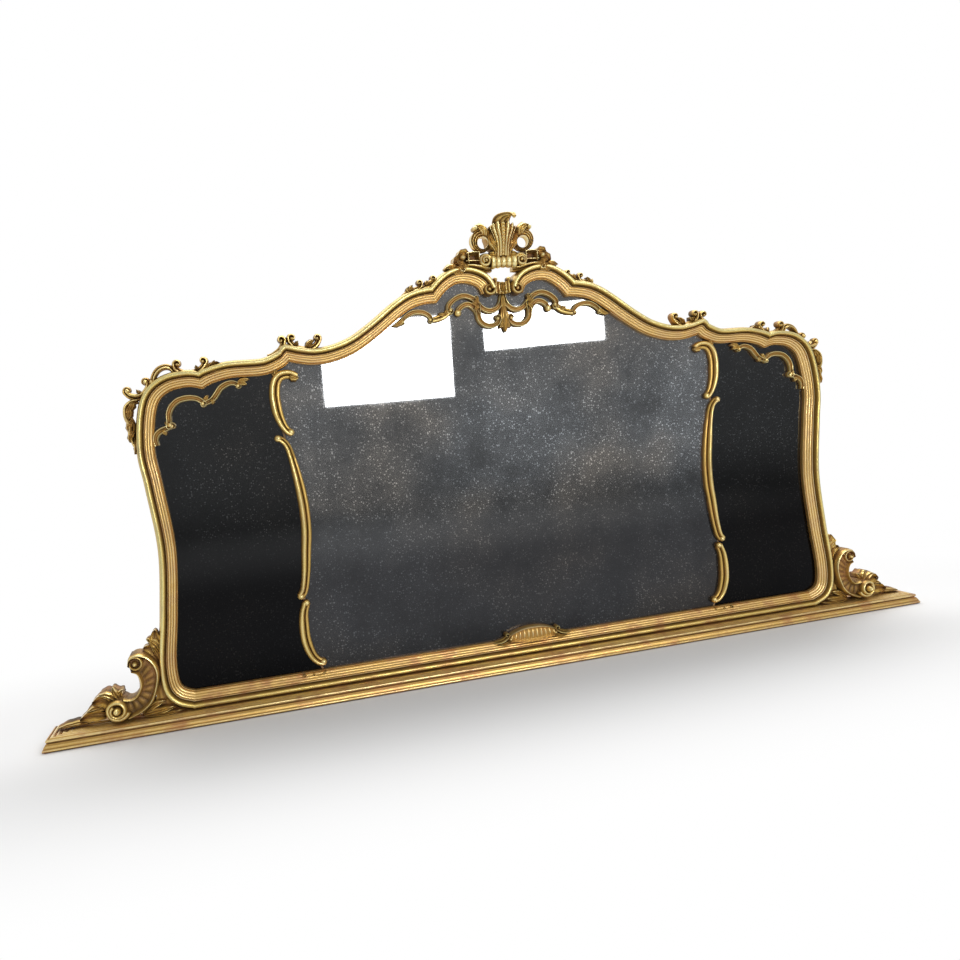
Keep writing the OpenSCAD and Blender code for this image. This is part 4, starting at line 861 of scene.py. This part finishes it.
def cornerCresting():
    w, h = cresting["width"], cresting["height"]
    parts = scroll(around(corner, [(-1, 15), (-2, 9), (1, 1), (8, -7), (19, -10), (29, -7), (35, -1)]), w,
                   h, (-1, 1))
    parts += scroll(around(corner, [(-8, 12), (-10, 20), (-15, 29), (-22, 35), (-31, 37.5), (-39, 35),
                                    (-44, 28), (-45, 20)]), 10, h - 2, thin=(0.9, 0.8))
    parts += scroll(around(corner, [(-46.5, 40), (-48, 33), (-54, 27), (-62, 24), (-72, 23.5), (-81, 26),
                                    (-90, 32), (-96, 41)]), w, h, (1, -1))
    parts += [strand(around(corner, [(18, -16), (28, -18), (36, -26), (36.5, -41), (32, -55), (33, -68),
                                     (31.5, -82), (27, -97)]), 13, h, (0.7, 0.6))]
    parts += [leaf(corner + [34, -26], corner + [36, -46], 6, h + 2),
              leaf(corner + [25, -17], corner + [37, -32], 6, h + 1)]
    parts += [leaf(corner + [30, -48], corner + [37, -68], 6, h + 1, bow=-0.1),
              leaf(corner + [29, -66], corner + [37, -84], 6, h + 1, bow=-0.1),
              leaf(corner + [27, -80], corner + [32, -104], 6, h)]
    parts += [leaf(corner + [11, -4], corner + [18, 3], 3.5, h),
              leaf(corner + [-83, 28], corner + [-80, 37], 3.5, h)]
    parts += [dome(corner + [-7, 12], 5, h - 1)]
    parts += spray(corner + [-96, 27], [(-3, 13), (-15, 16), (-27, 10), (-36, 4)], 6.5, h, bow=-0.1)
    parts += [leaf(corner + [-104, 30], corner + [-122, 35], 6, h + 3, cup=True)]
    return parts


def cornerFret():
    w, h = fret["width"], fret["height"]
    parts = scroll(around(corner, [(-4, -93), (-2.5, -82), (-6.5, -73), (-14, -68), (-22, -65),
                                   (-30, -60)]), w, h, (0, 1), (0.8, 0.9), 0, 2.6, "hollow")
    parts += scroll(around(corner, [(-25, -61), (-27, -53), (-27.5, -42), (-33, -30), (-43, -21),
                                    (-54, -17.5), (-66, -17), (-77, -20), (-86, -27)]), w, h, (-1, 1),
                    (0.9, 0.9), 0, 2.8, "hollow")
    parts += scroll(around(corner, [(-82, -29), (-91, -27), (-101, -22), (-108, -14), (-116, -4), (-127, 2),
                                    (-137, 3), (-146, -1)]), w, h, (0, 1), (0.8, 0.8), 0, 2.4, "hollow")
    parts += spray(corner + [-144, 1], [(-21, 6), (-16, -3)], 5, h)
    parts += [leaf(corner + [-31, -62], corner + [-20, -54], 4.5, h),
              leaf(corner + [-88, -25], corner + [-95, -15], 4.5, h),
              leaf(corner + [-100, -21], corner + [-99, -31], 4.5, h),
              leaf(corner + [-14, -68], corner + [-20, -77], 4.5, h)]
    return parts


def cuspScroll():
    w, h = cresting["width"], cresting["height"]
    parts = scroll(around(cusp, [(36, 12), (25, 14), (15, 20), (9, 28), (6.5, 37)]), 11, h, (0, -1),
                   (0.6, 1.0))
    parts += scroll(around(cusp, [(-3.5, 40), (-5, 33), (-11, 25), (-20, 20.5), (-30, 19), (-40, 21),
                                  (-49, 27), (-54.5, 36)]), w, h, (1, -1))
    parts += spray(cusp + [-30, 22], [(-17, 13), (-12, 6)], 5, h - 2)
    parts += [leaf(cusp + [-14, 26], cusp + [-18, 35], 4, h - 2),
              leaf(cusp + [4, 22], cusp + [12, 30], 5, h - 3)]
    return parts


def archSprig():
    h = cresting["height"] - 2
    parts = scroll(around(kink, [(68, 9), (56, 18), (42, 24), (30, 29), (27, 36)]), 10, h, (0, -1),
                   (0.6, 0.8), eye=3.4)
    parts += scroll(around(kink, [(34, 24), (20, 29), (8, 34), (2, 42)]), 10, h, (0, -1), (0.7, 0.8),
                    eye=3.4)
    parts += spray(kink + [46, 20], [(7, 10), (-3, 14)], 5.5, h)
    parts += spray(kink + [14, 31], [(-14, 10), (-22, 9), (2, 10)], 5.5, h)
    return parts


def pendantHalf(side):
    w, h = fret["width"], fret["height"]
    middle = np.array([0, crownZ])
    parts = scroll(around(middle, [(105, -15), (104, -6), (98, 1), (89, 7), (77, 10.5), (65, 8.5), (55, 2),
                                   (49, -8), (50, -22), (49, -32), (44, -40), (35, -45.5), (23.5, -46),
                                   (14, -42), (10, -34)]), w, h + 1, (-1, -1), (0.95, 0.9), 0, 3.4,
                   "hollow")
    parts += scroll(around(middle, [(88, -21), (85, -13), (77, -7), (67.5, -5), (60, -9), (54, -16),
                                    (51, -24)]), w, h, (0, 0), (0.95, 0.9), 0, 3.4, "hollow")
    parts += scroll(around(middle, [(53, 3), (47, -6), (41, -13), (32, -18), (22, -18.5), (12, -14),
                                    (5, -5), (1.5, 8)]), w, h, (1, 0), (0.8, 0.9), 0, 3, "hollow")
    parts += scroll(around(middle, [(194, -29), (182, -19), (169, -14), (154, -15), (143, -21),
                                    (138, -29)]), w - 1, h - 1, (-1, 1), (0.85, 0.9), 0, 2.8, "hollow")
    parts += [strand(around(middle, [(137, -30), (127, -28), (115, -24), (104, -17)]), w + 2, h,
                     (0.85, 0.8))]
    parts += [dome(middle + [88, -20], 6.5, h + 1)]
    parts += spray(middle + [50, -6], [(-3, 14), (10, 5), (8, -12)], 5, h + 3)
    parts += spray(middle + [112, -22], [(12, 4), (-8, 8)], 5, h + 1)
    parts += spray(middle + [190, -26], [(14, -6), (22, -10)], 5, h)
    parts += [leaf(middle + [1, -32], middle + [11, -52], 6, h + 1),
              leaf(middle + [3, -24], middle + [10, -34], 5, h)]
    return onSide(parts, side)


for sideName, side in (("left", -1), ("right", 1)):
    for node, shape in (("divider_top", dividerTop), ("divider_middle", dividerMiddle),
                        ("divider_foot", dividerFoot), ("foot_curls", footCurls),
                        ("corner_cresting", cornerCresting), ("corner_fret", cornerFret),
                        ("cusp_scroll", cuspScroll), ("arch_sprig", archSprig)):
        gild(makePiece(f"carved_{sideName}_{node}", shape(), side), f"{sideName}_{node}", "bright_gilding")

pendant = pendantHalf(1) + pendantHalf(-1)
pendant += [leaf((0, crownZ - 12), (0, crownZ - 60), 9, fret["height"] + 3, bow=0, veins=5),
            leaf((0, crownZ - 20), (0, crownZ + 13), 6, fret["height"] + 1, bow=0)]
gild(makePiece("carved_pendant_fret", pendant), "pendant_fret", "bright_gilding")


# The link between the crown's volutes: an upright shell of five ribs under a hollowed top edge, with
# painted highlights on the ribs and painted shade between them
def crownShell():
    share = np.linspace(-1, 1, 49)
    t = np.linspace(0, 1, 15)
    low = np.stack([share * 16, crownZ + 10 + 3 * share**2], 1)
    high = np.stack([share * 16, crownZ + 31 + 6 * share**2], 1)
    ribs = np.abs(np.cos(np.pi * 2.5 * share))[:, None] * np.ones_like(t)[None, :]
    height = 12 + 3 * ribs + 3 * np.exp(-((t - 0.94) / 0.09)**2)[None, :]
    return band(low, high, height, 0.3 + 0.6 * ribs, -10)


link = [crownShell()]
for side in (-1, 1):
    link += [dome((side * 13, crownZ + 37), 4, 19), dome((side * 6, crownZ + 14), 4, 18)]
link += [leaf((0, crownZ + 32), (0, crownZ + 9), 5.5, 18, -4, 0)]
gild(makePiece("carved_crown_link", link), "crown_link", "bright_gilding")
print("frets and crestings made")


crestPlace = {"low": crownZ + 57, "waist": crownZ + 84, "top": crownZ + 144.5, "eyeX": 38, "holeR": 10.5,
              "flutes": 6, "lift": 0.38}
crestEye = np.array([crestPlace["eyeX"], crestPlace["low"] + 42])
crestVolute = np.array([34, crestPlace["low"] + 11])


# The middle fan: flutes spread from the narrow waist up to a lobed edge, with a beaded line down its middle.
# Its tone paints highlights on the flute crests and shade in the flutes and in the dips of the beaded line
def crestFan():
    share = np.linspace(-1, 1, 99)
    t = np.linspace(0, 1, 41)
    low = np.stack([share * 15, crestPlace["waist"] - 8 - 3 * share**2], 1)
    lobes = np.abs(np.cos(np.pi * crestPlace["flutes"] / 2 * share))
    high = np.stack([np.sin(share * 1.2) * 26,
                     crestPlace["low"] + 63 + 10 * np.cos(share * 1.4) + 5 * lobes], 1)
    ribs = (lobes**0.9)[:, None] * np.ones_like(t)[None, :]
    middle = np.exp(-(share / 0.07)**2)[:, None]
    beads = middle * (0.5 + 0.5 * np.cos(20 * np.pi * t))[None, :]
    splay = 28 + 12 * np.sin(np.pi * 0.55 * t)[None, :] + 5 * (1 - share**2)[:, None]
    height = splay + 5.5 * ribs * (0.35 + 0.65 * t)[None, :] - 2.5 * beads
    shade = 0.08 + 0.88 * ribs - 0.6 * beads
    return waisted(band(low, high, height, np.clip(shade, 0, 1), 8), 0.22)


# Draws the sides of an upright piece in between its foot and its head, most of all a third of the way up
def waisted(part, amount):
    place = part["points"]
    up = (place[:, 2] - place[:, 2].min()) / np.ptp(place[:, 2])
    place[:, 0] *= 1 - amount * np.sin(np.pi * np.clip(up / 0.75, 0, 1))
    return part


# A side leaf that curls right round its open eye, widest outside, with flutes that run round with it.
# Its tone paints highlights on the flutes and shade between them
def crestRing():
    angle = np.radians(np.linspace(0, 360, 73))
    outside = (0.5 + 0.5 * np.cos(angle - np.radians(65)))**1.3
    ray = np.stack([np.cos(angle), np.sin(angle)], 1)
    first = crestEye + ray * crestPlace["holeR"]
    second = crestEye + ray * (crestPlace["holeR"] + 5.5 + 8.0 * outside)[:, None]
    t = np.linspace(0, 1, 25)
    flutes = np.cos(np.pi * 3 * t)[None, :]**2
    height = 32 + 6 * outside[:, None] + 3.5 * flutes - 3 * t[None, :]**2
    shade = 0.22 + 0.74 * flutes * np.ones_like(angle)[:, None]
    return band(first, second, height, shade, 22)


# The spool between the volutes, turned with rings and drawn in at its middle, with painted highlights
# on the rings and painted shade in the grooves
def crestRoll():
    x = np.linspace(-24, 24, 97)
    turn = np.linspace(0, 2 * np.pi, 40, endpoint=False)
    rings = np.abs(np.cos(np.pi * x / 9.6))**0.7
    radius = (11 + 3.5 * (x / 24)**2 - 2.0 * (1 - rings))[:, None]
    place = np.stack(np.broadcast_arrays(
        x[:, None], glassY - 26 - radius * np.cos(turn)[None, :],
        crestPlace["low"] + 9 + radius * np.sin(turn)[None, :]), -1)
    shade = 0.22 + 0.74 * rings[:, None] * np.ones_like(turn)[None, :]
    flow = np.stack(np.broadcast_arrays(radius * turn[None, :], x[:, None] + 0 * turn[None, :]), -1)
    return tubePart(place, shade, flow)


def crestHalf(side):
    low = crestPlace["low"]
    parts = [crestRing()]
    # The wide dome under the volute has a low tone, painted shade between the turns
    parts += [winding(crestVolute, 11, 4.5, 1.6, 170, 9, 35, 41, -1, 4), dome(crestVolute, 4.6, 42, 4),
              dome(crestVolute, 14, 31, 4, 0.3)]
    # The side leaf's tip rolls over outwards above the eye
    parts += [leaf(crestEye + [-4, 12], crestEye + [15, 28], 9, 46, 22, -0.3, 0.1),
              leaf(crestEye + [-8, 10], crestEye + [4, 22], 6, 43, 22, -0.2, cup=True),
              dome(crestEye + [13, 25], 4.5, 49, 26)]
    # A lobe between the fan and the ring
    parts += [leaf((12, crestPlace["waist"]), (25, low + 68), 8, 44, 10),
              leaf((14, crestPlace["waist"] - 6), (28, low + 24), 9, 38, 8)]
    # The wing: a frame round a slot whose back is a sheet with a tone below the darkest, painted shade for
    # the slot's inside, with lobes beyond it that fall to a leaf at its tip
    frameX, frameZ = 57, low + 18
    parts += [strand([(frameX - 13, frameZ + 7.5), (frameX, frameZ + 8), (frameX + 13, frameZ + 6)],
                     6, 35, (0.9, 0.9), 6),
              strand([(frameX - 13, frameZ - 7), (frameX, frameZ - 7), (frameX + 13, frameZ - 7)],
                     6, 33, (0.9, 0.9), 6),
              strand([(frameX + 10, frameZ - 9), (frameX + 10, frameZ + 9)], 6, 35, (1, 1), 6),
              strand([(frameX - 11, frameZ - 9), (frameX - 11, frameZ + 9)], 6, 33, (1, 1), 6)]
    # Painted shade: the sheet behind the slot stands for the shade inside it
    shadedSlotBack = np.array([[frameX - 10, frameZ - 7], [frameX + 9, frameZ - 7]])
    parts += [band(shadedSlotBack, shadedSlotBack + [0, 14], np.full((2, 3), 16.0), np.full((2, 3), -0.4), 6)]
    parts += [leaf((66, low + 22), (84, low + 21), 8, 37, 8, -0.2, cup=True),
              dome((76, low + 18), 5.5, 39, 8),
              leaf((74, low + 16), (93, low + 8), 8, 33, 6, -0.15, cup=True),
              leaf((72, low + 8), (88, low + 14), 6, 35, 6),
              leaf((64, low + 7), (92, low + 2), 7, 32, 4),
              leaf((84, low + 1), (109, low + 1), 7, 28, 4, -0.12)]
    # The scroll that seats the crest on the crown rail
    parts += scroll([(20, low - 3), (32, low - 3), (44, low), (60, low + 3), (76, low + 3)], 11, 32,
                    (0, -1), (0.7, 0.8), 3, 4.6)
    parts += [leaf((78, low + 1), (96, low - 6), 6, 29, 3, 0.1)]
    return onSide(parts, side)


crest = [crestFan(), crestRoll()] + crestHalf(1) + crestHalf(-1)
gild(makePiece("carved_crest", lifted(crest, crestPlace["lift"])), "crest", "antique_gilding")


# The tall centre leaf rises behind the fan, leans forward, curls over and twists to the right at its tip:
# a ribbed strip carried along a spine in the upright plane. Its tone paints highlights on the ribs and shade
# between them, and grows brighter towards the tip
def crestLeaf():
    rise = crestPlace["top"] - crestPlace["waist"]
    spine = smoothCurve([(20, 0.1 * rise), (25, 0.4 * rise), (33, 0.68 * rise), (45, 0.88 * rise),
                         (57, 0.965 * rise), (69, 0.95 * rise), (78, 0.83 * rise)], 8)
    share = np.linspace(0, 1, len(spine))
    hood = np.sqrt(np.clip(1 - (np.clip(share - 0.44, 0, 1) / 0.36)**2, 0, 1))
    half = 5.5 + (7 + 4 * easeIn(share / 0.4)) * hood - 2 * easeIn((share - 0.75) / 0.25)
    thick = 7 - 3.5 * easeIn((share - 0.3) / 0.6)
    lean = 13 * easeIn((share - 0.45) / 0.5) - 1
    turn = np.linspace(0, 2 * np.pi, 40, endpoint=False)
    q = np.cos(turn)[None, :]
    veins = np.cos(3.5 * np.pi * q) * (np.sin(turn) > 0)[None, :]
    out = np.sin(turn)[None, :] * (0.8 + 0.2 * veins) - 0.5 * q**2
    normal = outwardOf(spine)
    x = q * half[:, None] + lean[:, None]
    height = spine[:, :1] + out * thick[:, None] * normal[:, :1]
    z = crestPlace["waist"] + spine[:, 1:] + out * thick[:, None] * normal[:, 1:]
    rings = np.stack([x, glassY - height, z], -1)
    shade = 0.35 + 0.35 * veins + 0.25 * share[:, None]
    flow = np.stack(np.broadcast_arrays(lengthAlong(spine)[:, None], q * 12), -1)
    return tubePart(rings, shade, flow)


gild(makePiece("carved_crest_leaf", [crestLeaf()]), "crest_leaf", "antique_gilding")
print("crest made")


bracket = {
    "outer": [(12, 0), (9, 11), (-3, 17.5), (-20, 13), (-32, -1), (-36.5, -21), (-31, -48), (-21, -69),
              (-4, -83), (18, -92)],
    "inner": [(6, -14), (-2, -22), (-3, -40), (4, -52), (13, -57), (24, -54)],
    "face": 26,
    "rim": 11,
    "ribs": 11,
}


# The S body: a hollow channel between two raised rims, crossed by ribs that slant like an acanthus stem.
# Its tone paints shade in the channel and highlights along the rims and ribs
def bracketBody(look):
    outer = smoothCurve(around(scrollEye, look["outer"]), 9)
    inner = smoothCurve(around(scrollEye, look["inner"]), 9)
    count = 90
    pick = np.linspace(0, 1, count)
    evenly = [np.stack([np.interp(pick, lengthAlong(c) / lengthAlong(c)[-1], c[:, k]) for k in (0, 1)], 1)
              for c in (outer, inner)]
    t = np.linspace(0, 1, 27)
    rims = np.exp(-((t - 0.10) / 0.075)**2) + 0.85 * np.exp(-((t - 0.90) / 0.08)**2)
    slant = pick[:, None] * look["ribs"] + 0.9 * (t - 0.5)[None, :]
    ribs = np.abs(np.sin(np.pi * slant)) * np.sin(np.pi * np.clip((t - 0.15) / 0.7, 0, 1))[None, :]
    height = look["face"] + look["rim"] * rims[None, :] + 2.4 * ribs
    shade = 0.06 + 0.9 * rims[None, :] + 0.26 * ribs
    return band(evenly[0], evenly[1], height, np.clip(shade, 0, 1), -4)


def sideBracket():
    parts = [bracketBody(bracket)]
    # The wide dome under the coil has a low tone, painted shade between the turns
    parts += [winding(scrollEye, 12.5, 8, 0.9, 60, 7, 36, 33, 1, -4), dome(scrollEye, 5.5, 40, -4),
              dome(scrollEye, 13, 28, -4, 0.25)]
    return parts


def bracketVolute():
    parts = [winding(volute, 17.2, 8.5, 1.6, 200, 11, 39, 48, 1, 6), dome(volute, 7.5, 54, 6)]
    # The wide dome under the volute has a low tone, painted shade between the turns
    parts += [dome(volute, 22.5, 36, -4, 0.25)]
    return parts


def bracketLeaves():
    parts = [leaf(volute + [6, 10], volute + [40, 14], 10, 32, -4, -0.15, cup=True),
             leaf(volute + [2, 14], volute + [28, 27], 9, 34, -4, -0.15),
             leaf(volute + [-4, 14], volute + [6, 36], 9, 30, -4),
             leaf(volute + [-2, 16], volute + [-9, 30], 7, 28, -4),
             leaf(volute + [14, 4], volute + [50, 0], 9, 28, -4, -0.1),
             leaf(volute + [20, -10], volute + [62, -12], 9, 26, -4, -0.1, cup=True),
             leaf(volute + [50, -17], volute + [99, -21], 6, 17, -4, -0.03)]
    return parts


def stileLeaf():
    h = cresting["height"]
    parts = [leaf((660, 114), (688, 138), 12, h + 2, bow=-0.2, cup=True),
             leaf((660, 124), (681, 153), 12, h + 4, bow=-0.16),
             leaf((659, 134), (666, 167), 10, h + 5, cup=True), leaf((664, 108), (688, 123), 9, h, bow=0.2),
             leaf((663, 116), (675, 142), 6, h + 8, bow=-0.1)]
    return parts


# A broad leaf in the corner between the scroll and the stile, with a web behind it that closes the corner.
# The web's tone paints light and shade for folds that its shape does not have
def footLeaf():
    h = cresting["height"]
    rise = np.linspace(0, 1, 33)
    scrollSide = smoothCurve([(sideX + 66, baseH), (sideX + 45, baseH + 22), (sideX + 42, baseH + 42),
                              (sideX + 42, baseH + 62), (sideX + 42, baseH + 88)], 8)
    stileSide = smoothCurve([(sideX - 8, baseH), (sideX + 12, baseH + 9), (sideX + 22, baseH + 28),
                             (sideX + 24, baseH + 62), (sideX + 24, baseH + 88)], 8)
    t = np.linspace(0, 1, 15)
    hollow = 15 - 5 * np.sin(np.pi * t)[None, :] + 2 * (1 - rise)[:, None]
    folds = 0.3 + 0.25 * np.cos(3 * np.pi * t)[None, :]**2 * np.ones_like(rise)[:, None]
    parts = [band(scrollSide, stileSide, hollow, folds, -4)]
    heel = np.array([sideX + 64, baseH + 4])
    parts += [leaf(heel, (sideX + 28, baseH + 22), 9, h + 4, bow=0.12),
              leaf(heel, (sideX + 12, baseH + 10), 8, h + 6, bow=0),
              leaf(heel, (sideX - 2, baseH + 4), 6, h + 7, bow=-0.06)]
    return parts


for sideName, side in (("left", -1), ("right", 1)):
    for node, shape in (("side_bracket", sideBracket), ("bracket_volute", bracketVolute),
                        ("bracket_leaves", bracketLeaves), ("stile_leaf", stileLeaf),
                        ("foot_leaf", footLeaf)):
        gild(makePiece(f"carved_{sideName}_{node}", shape(), side), f"{sideName}_{node}", "antique_gilding")


# A low shell between two raised rims, with ribs that splay outwards from its middle, and painted highlights
# on the rims and ribs
def cartoucheShell():
    x = np.linspace(-50, 50, 121)
    t = np.linspace(0, 1, 27)
    share = np.abs(x) / 50
    low = np.stack([x, sightZ - 9 + 8 * share**2], 1)
    high = np.stack([x, sightZ + 21 - 13 * share**2.2], 1)
    rims = np.exp(-((t - 0.07) / 0.06)**2) + np.exp(-((t - 0.93) / 0.06)**2)
    splay = x[:, None] / 8.5 + 0.5 * np.sign(x)[:, None] * (t - 0.5)[None, :] * share[:, None]
    ribs = np.cos(np.pi * splay)**2 * np.sin(np.pi * np.clip((t - 0.12) / 0.76, 0, 1))[None, :]
    height = 14.5 + 5.5 * rims[None, :] + 3.0 * ribs
    shade = 0.52 + 0.6 * rims[None, :] + 0.4 * ribs
    shell = band(low, high, height, np.clip(shade, 0, 1), 0)
    shell["warmth"] = 0.8
    return shell


def cartouche():
    parts = [cartoucheShell()]
    for side in (-1, 1):
        more = scroll(around((0, sightZ), [(76, -1), (66, -1), (56, 2), (49, 7)]), 7, 18, (0, -1),
                      (0.4, 0.9), eye=3.4)
        more += [dome((45, sightZ + 2), 4, 20), leaf((44, sightZ - 2), (70, sightZ - 6), 5, 17)]
        parts += onSide(more, side)
    return parts


gild(makePiece("carved_bottom_cartouche", cartouche()), "bottom_cartouche", "antique_gilding")
print("brackets and cartouche made")


kept = {
    "mirror_plate": [silverPlate("sidePlate", 0.10, 0.003, 0.5),
                     silverPlate("centrePlate", 0.75, 0.085, 1.0)],
    "backboard": bareWood("boardPine", "z"),
    "mullion": bareWood("mullionPine", "z"),
    "batten": bareWood("battenPine", "x"),
    "hanging_plate": dullMetal("hangerBrass", (0.62, 0.44, 0.18), (0.30, 0.20, 0.08), 0.3),
    "screws": dullMetal("screwSteel", (0.42, 0.42, 0.42), (0.16, 0.15, 0.14), 0.35),
}
for nodeName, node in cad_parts.items():
    finish = None
    if "mirror_plate" in nodeName:
        finish = kept["mirror_plate"][nodeName.startswith("centre")]
    elif nodeName.endswith("screws"):
        finish = kept["screws"]
    else:
        for word in ("backboard", "mullion", "batten", "hanging_plate"):
            if word in nodeName:
                finish = kept[word]
    if finish:
        node.data.materials.clear()
        node.data.materials.append(finish)


studio = {
    "floorPale": 0.80,
    "paleWithin": 0.10,      # metres round the base in which the floor only shows the light that it gets
    "whiteBeyond": 0.62,     # metres from the base at which it has gone over to plain white
    "plainWithin": 1.3,      # metres from the middle of the floor at which it starts to fade
    "fadedBeyond": 3.4,      # and at which it has gone over to the surroundings
    "whiteSide": 1.0,        # brightness of the surroundings behind the mirror
    "viewerSide": 0.20,      # and on the viewer's side, at eye level
    "upperGlow": 0.60,       # and on the viewer's side, higher up
}


# The share of white in the surroundings, from how far a direction points to the back
def whiteBehind(tree, depth):
    node = addNode(tree, "ShaderNodeMapRange", {
        "Value": depth, "From Min": -0.25, "From Max": 0.45}, interpolation_type="SMOOTHSTEP")
    return node.outputs[0]


# A plain pale floor that is white further out, and far away goes over to the surroundings in each direction
def makeFloor(look):
    mesh = bpy.data.meshes.new("floor")
    reach = 30
    mesh.from_pydata([(-reach, -reach, 0), (reach, -reach, 0), (reach, reach, 0), (-reach, reach, 0)], [],
                     [(0, 1, 2, 3)])
    floor = bpy.data.objects.new("floor", mesh)
    bpy.context.scene.collection.objects.link(floor)
    material, tree, shader = startMaterial("paleFloor")
    place = addNode(tree, "ShaderNodeTexCoord").outputs["Object"]
    across, depth, _ = addNode(tree, "ShaderNodeSeparateXYZ", {0: place}).outputs
    # Distance from the base's long middle line: how far a place lies past its ends, and in front or behind
    pastEnd = sums(tree, "MAXIMUM", sums(tree, "SUBTRACT", sums(tree, "ABSOLUTE", across),
                                         plinthHigh[0] / perMetre), 0.0)
    pastFront = sums(tree, "MAXIMUM", sums(tree, "ABSOLUTE", depth), 0.0)
    distance = sums(tree, "SQRT", sums(tree, "MULTIPLY_ADD", pastEnd, pastEnd,
                                       sums(tree, "MULTIPLY", pastFront, pastFront)))
    white = addNode(tree, "ShaderNodeMapRange", {
        "Value": distance, "From Min": look["paleWithin"], "From Max": look["whiteBeyond"]},
        interpolation_type="SMOOTHSTEP").outputs[0]
    away = sums(tree, "SQRT", sums(tree, "MULTIPLY_ADD", across, across,
                                   sums(tree, "MULTIPLY", depth, depth)))
    faded = addNode(tree, "ShaderNodeMapRange", {
        "Value": away, "From Min": look["plainWithin"], "From Max": look["fadedBeyond"]},
        interpolation_type="SMOOTHSTEP").outputs[0]
    behind = whiteBehind(tree, sums(tree, "DIVIDE", depth, sums(tree, "MAXIMUM", away, 0.01)))
    farColour = mixColours(tree, behind, grey(look["viewerSide"]), grey(look["whiteSide"]))
    colour = mixColours(tree, faded, grey(look["floorPale"]), farColour)
    tree.links.new(colour, shader.inputs["Base Color"])
    shader.inputs["Roughness"].default_value = 0.9
    shader.inputs["Specular IOR Level"].default_value = 0.1
    glow = addNode(tree, "ShaderNodeEmission", {
        "Color": mixColours(tree, faded, grey(look["whiteSide"]), farColour)})
    # The white is there for the eye and for what metal and glass reflect, and lights nothing
    rays = addNode(tree, "ShaderNodeLightPath").outputs
    mirrored = sums(tree, "MAXIMUM", rays["Is Glossy Ray"], rays["Is Transmission Ray"])
    seen = sums(tree, "MAXIMUM", rays["Is Camera Ray"], mirrored)
    share = sums(tree, "MULTIPLY", white, seen)
    mixed = addNode(tree, "ShaderNodeMixShader", {0: share, 1: shader.outputs[0], 2: glow.outputs[0]})
    tree.links.new(mixed.outputs[0], tree.nodes["Material Output"].inputs["Surface"])
    mesh.materials.append(material)


# By direction alone, and the same for every ray, the surroundings are white behind the mirror and softly dim
# on the viewer's side, paler higher up
def makeSurroundings(look):
    world = bpy.data.worlds.new("studio")
    world.use_nodes = True
    tree = world.node_tree
    direction = addNode(tree, "ShaderNodeTexCoord").outputs["Generated"]
    _, depth, rise = addNode(tree, "ShaderNodeSeparateXYZ", {0: direction}).outputs
    above = addNode(tree, "ShaderNodeMapRange", {
        "Value": rise, "From Min": -0.03, "From Max": 0.35}, interpolation_type="SMOOTHSTEP")
    dim = mixColours(tree, above.outputs[0], grey(look["viewerSide"]), grey(look["upperGlow"]))
    colour = mixColours(tree, whiteBehind(tree, depth), dim, grey(look["whiteSide"]))
    tree.links.new(colour, tree.nodes["Background"].inputs["Color"])
    bpy.context.scene.world = world


softboxes = [
    # name, place, aimed at, width, height, watts
    ("keySoftbox", (0.22, -2.6, 0.80), (0.05, 0, 0.45), 0.64, 0.40, 16),
    ("sideSoftbox", (1.04, -2.6, 0.93), (0.1, 0, 0.4), 0.62, 0.21, 8),
    ("highSoftbox", (1.1, -1.9, 2.2), (0.2, 0, 0.3), 1.5, 1.0, 8),
    ("backSoftbox", (0.2, 1.0, 2.1), (0, -0.1, 0), 2.4, 1.0, 26),
]


def makeSoftbox(name, place, aim, width, height, watts):
    data = bpy.data.lights.new(name, "AREA")
    data.shape = "RECTANGLE"
    data.size, data.size_y = width, height
    data.energy = watts
    lamp = bpy.data.objects.new(name, data)
    towards = np.array(aim) - np.array(place)
    back = -towards / np.linalg.norm(towards)
    right = np.cross([0, 0, 1], back)
    right = right / np.linalg.norm(right)
    turned = np.eye(4)
    turned[:3, :3] = np.stack([right, np.cross(back, right), back], 1)
    turned[:3, 3] = place
    lamp.matrix_world = Matrix(turned.tolist())
    lamp.visible_camera = False
    bpy.context.scene.collection.objects.link(lamp)


view = {
    "place": (-0.4835, -1.5078, 0.4674),
    "turn": -15.083,         # degrees, to the right of straight ahead
    "tip": -3.981,           # below the horizon
    "roll": -5.136,
    "lens": 31.74,
    "sensor": 36,
}


def makeCamera(look):
    data = bpy.data.cameras.new("camera")
    data.lens, data.sensor_width = look["lens"], look["sensor"]
    data.clip_start, data.clip_end = 0.02, 100
    camera = bpy.data.objects.new("camera", data)
    turned = (Matrix.Rotation(np.radians(look["turn"]), 4, "Z")
              @ Matrix.Rotation(np.radians(90 + look["tip"]), 4, "X")
              @ Matrix.Rotation(np.radians(look["roll"]), 4, "Z"))
    camera.matrix_world = Matrix.Translation(look["place"]) @ turned
    bpy.context.scene.collection.objects.link(camera)
    bpy.context.scene.camera = camera


makeFloor(studio)
makeSurroundings(studio)
for lampSettings in softboxes:
    makeSoftbox(*lampSettings)
makeCamera(view)
bpy.context.scene.view_settings.view_transform = "Standard"
print("stage, light and camera made")
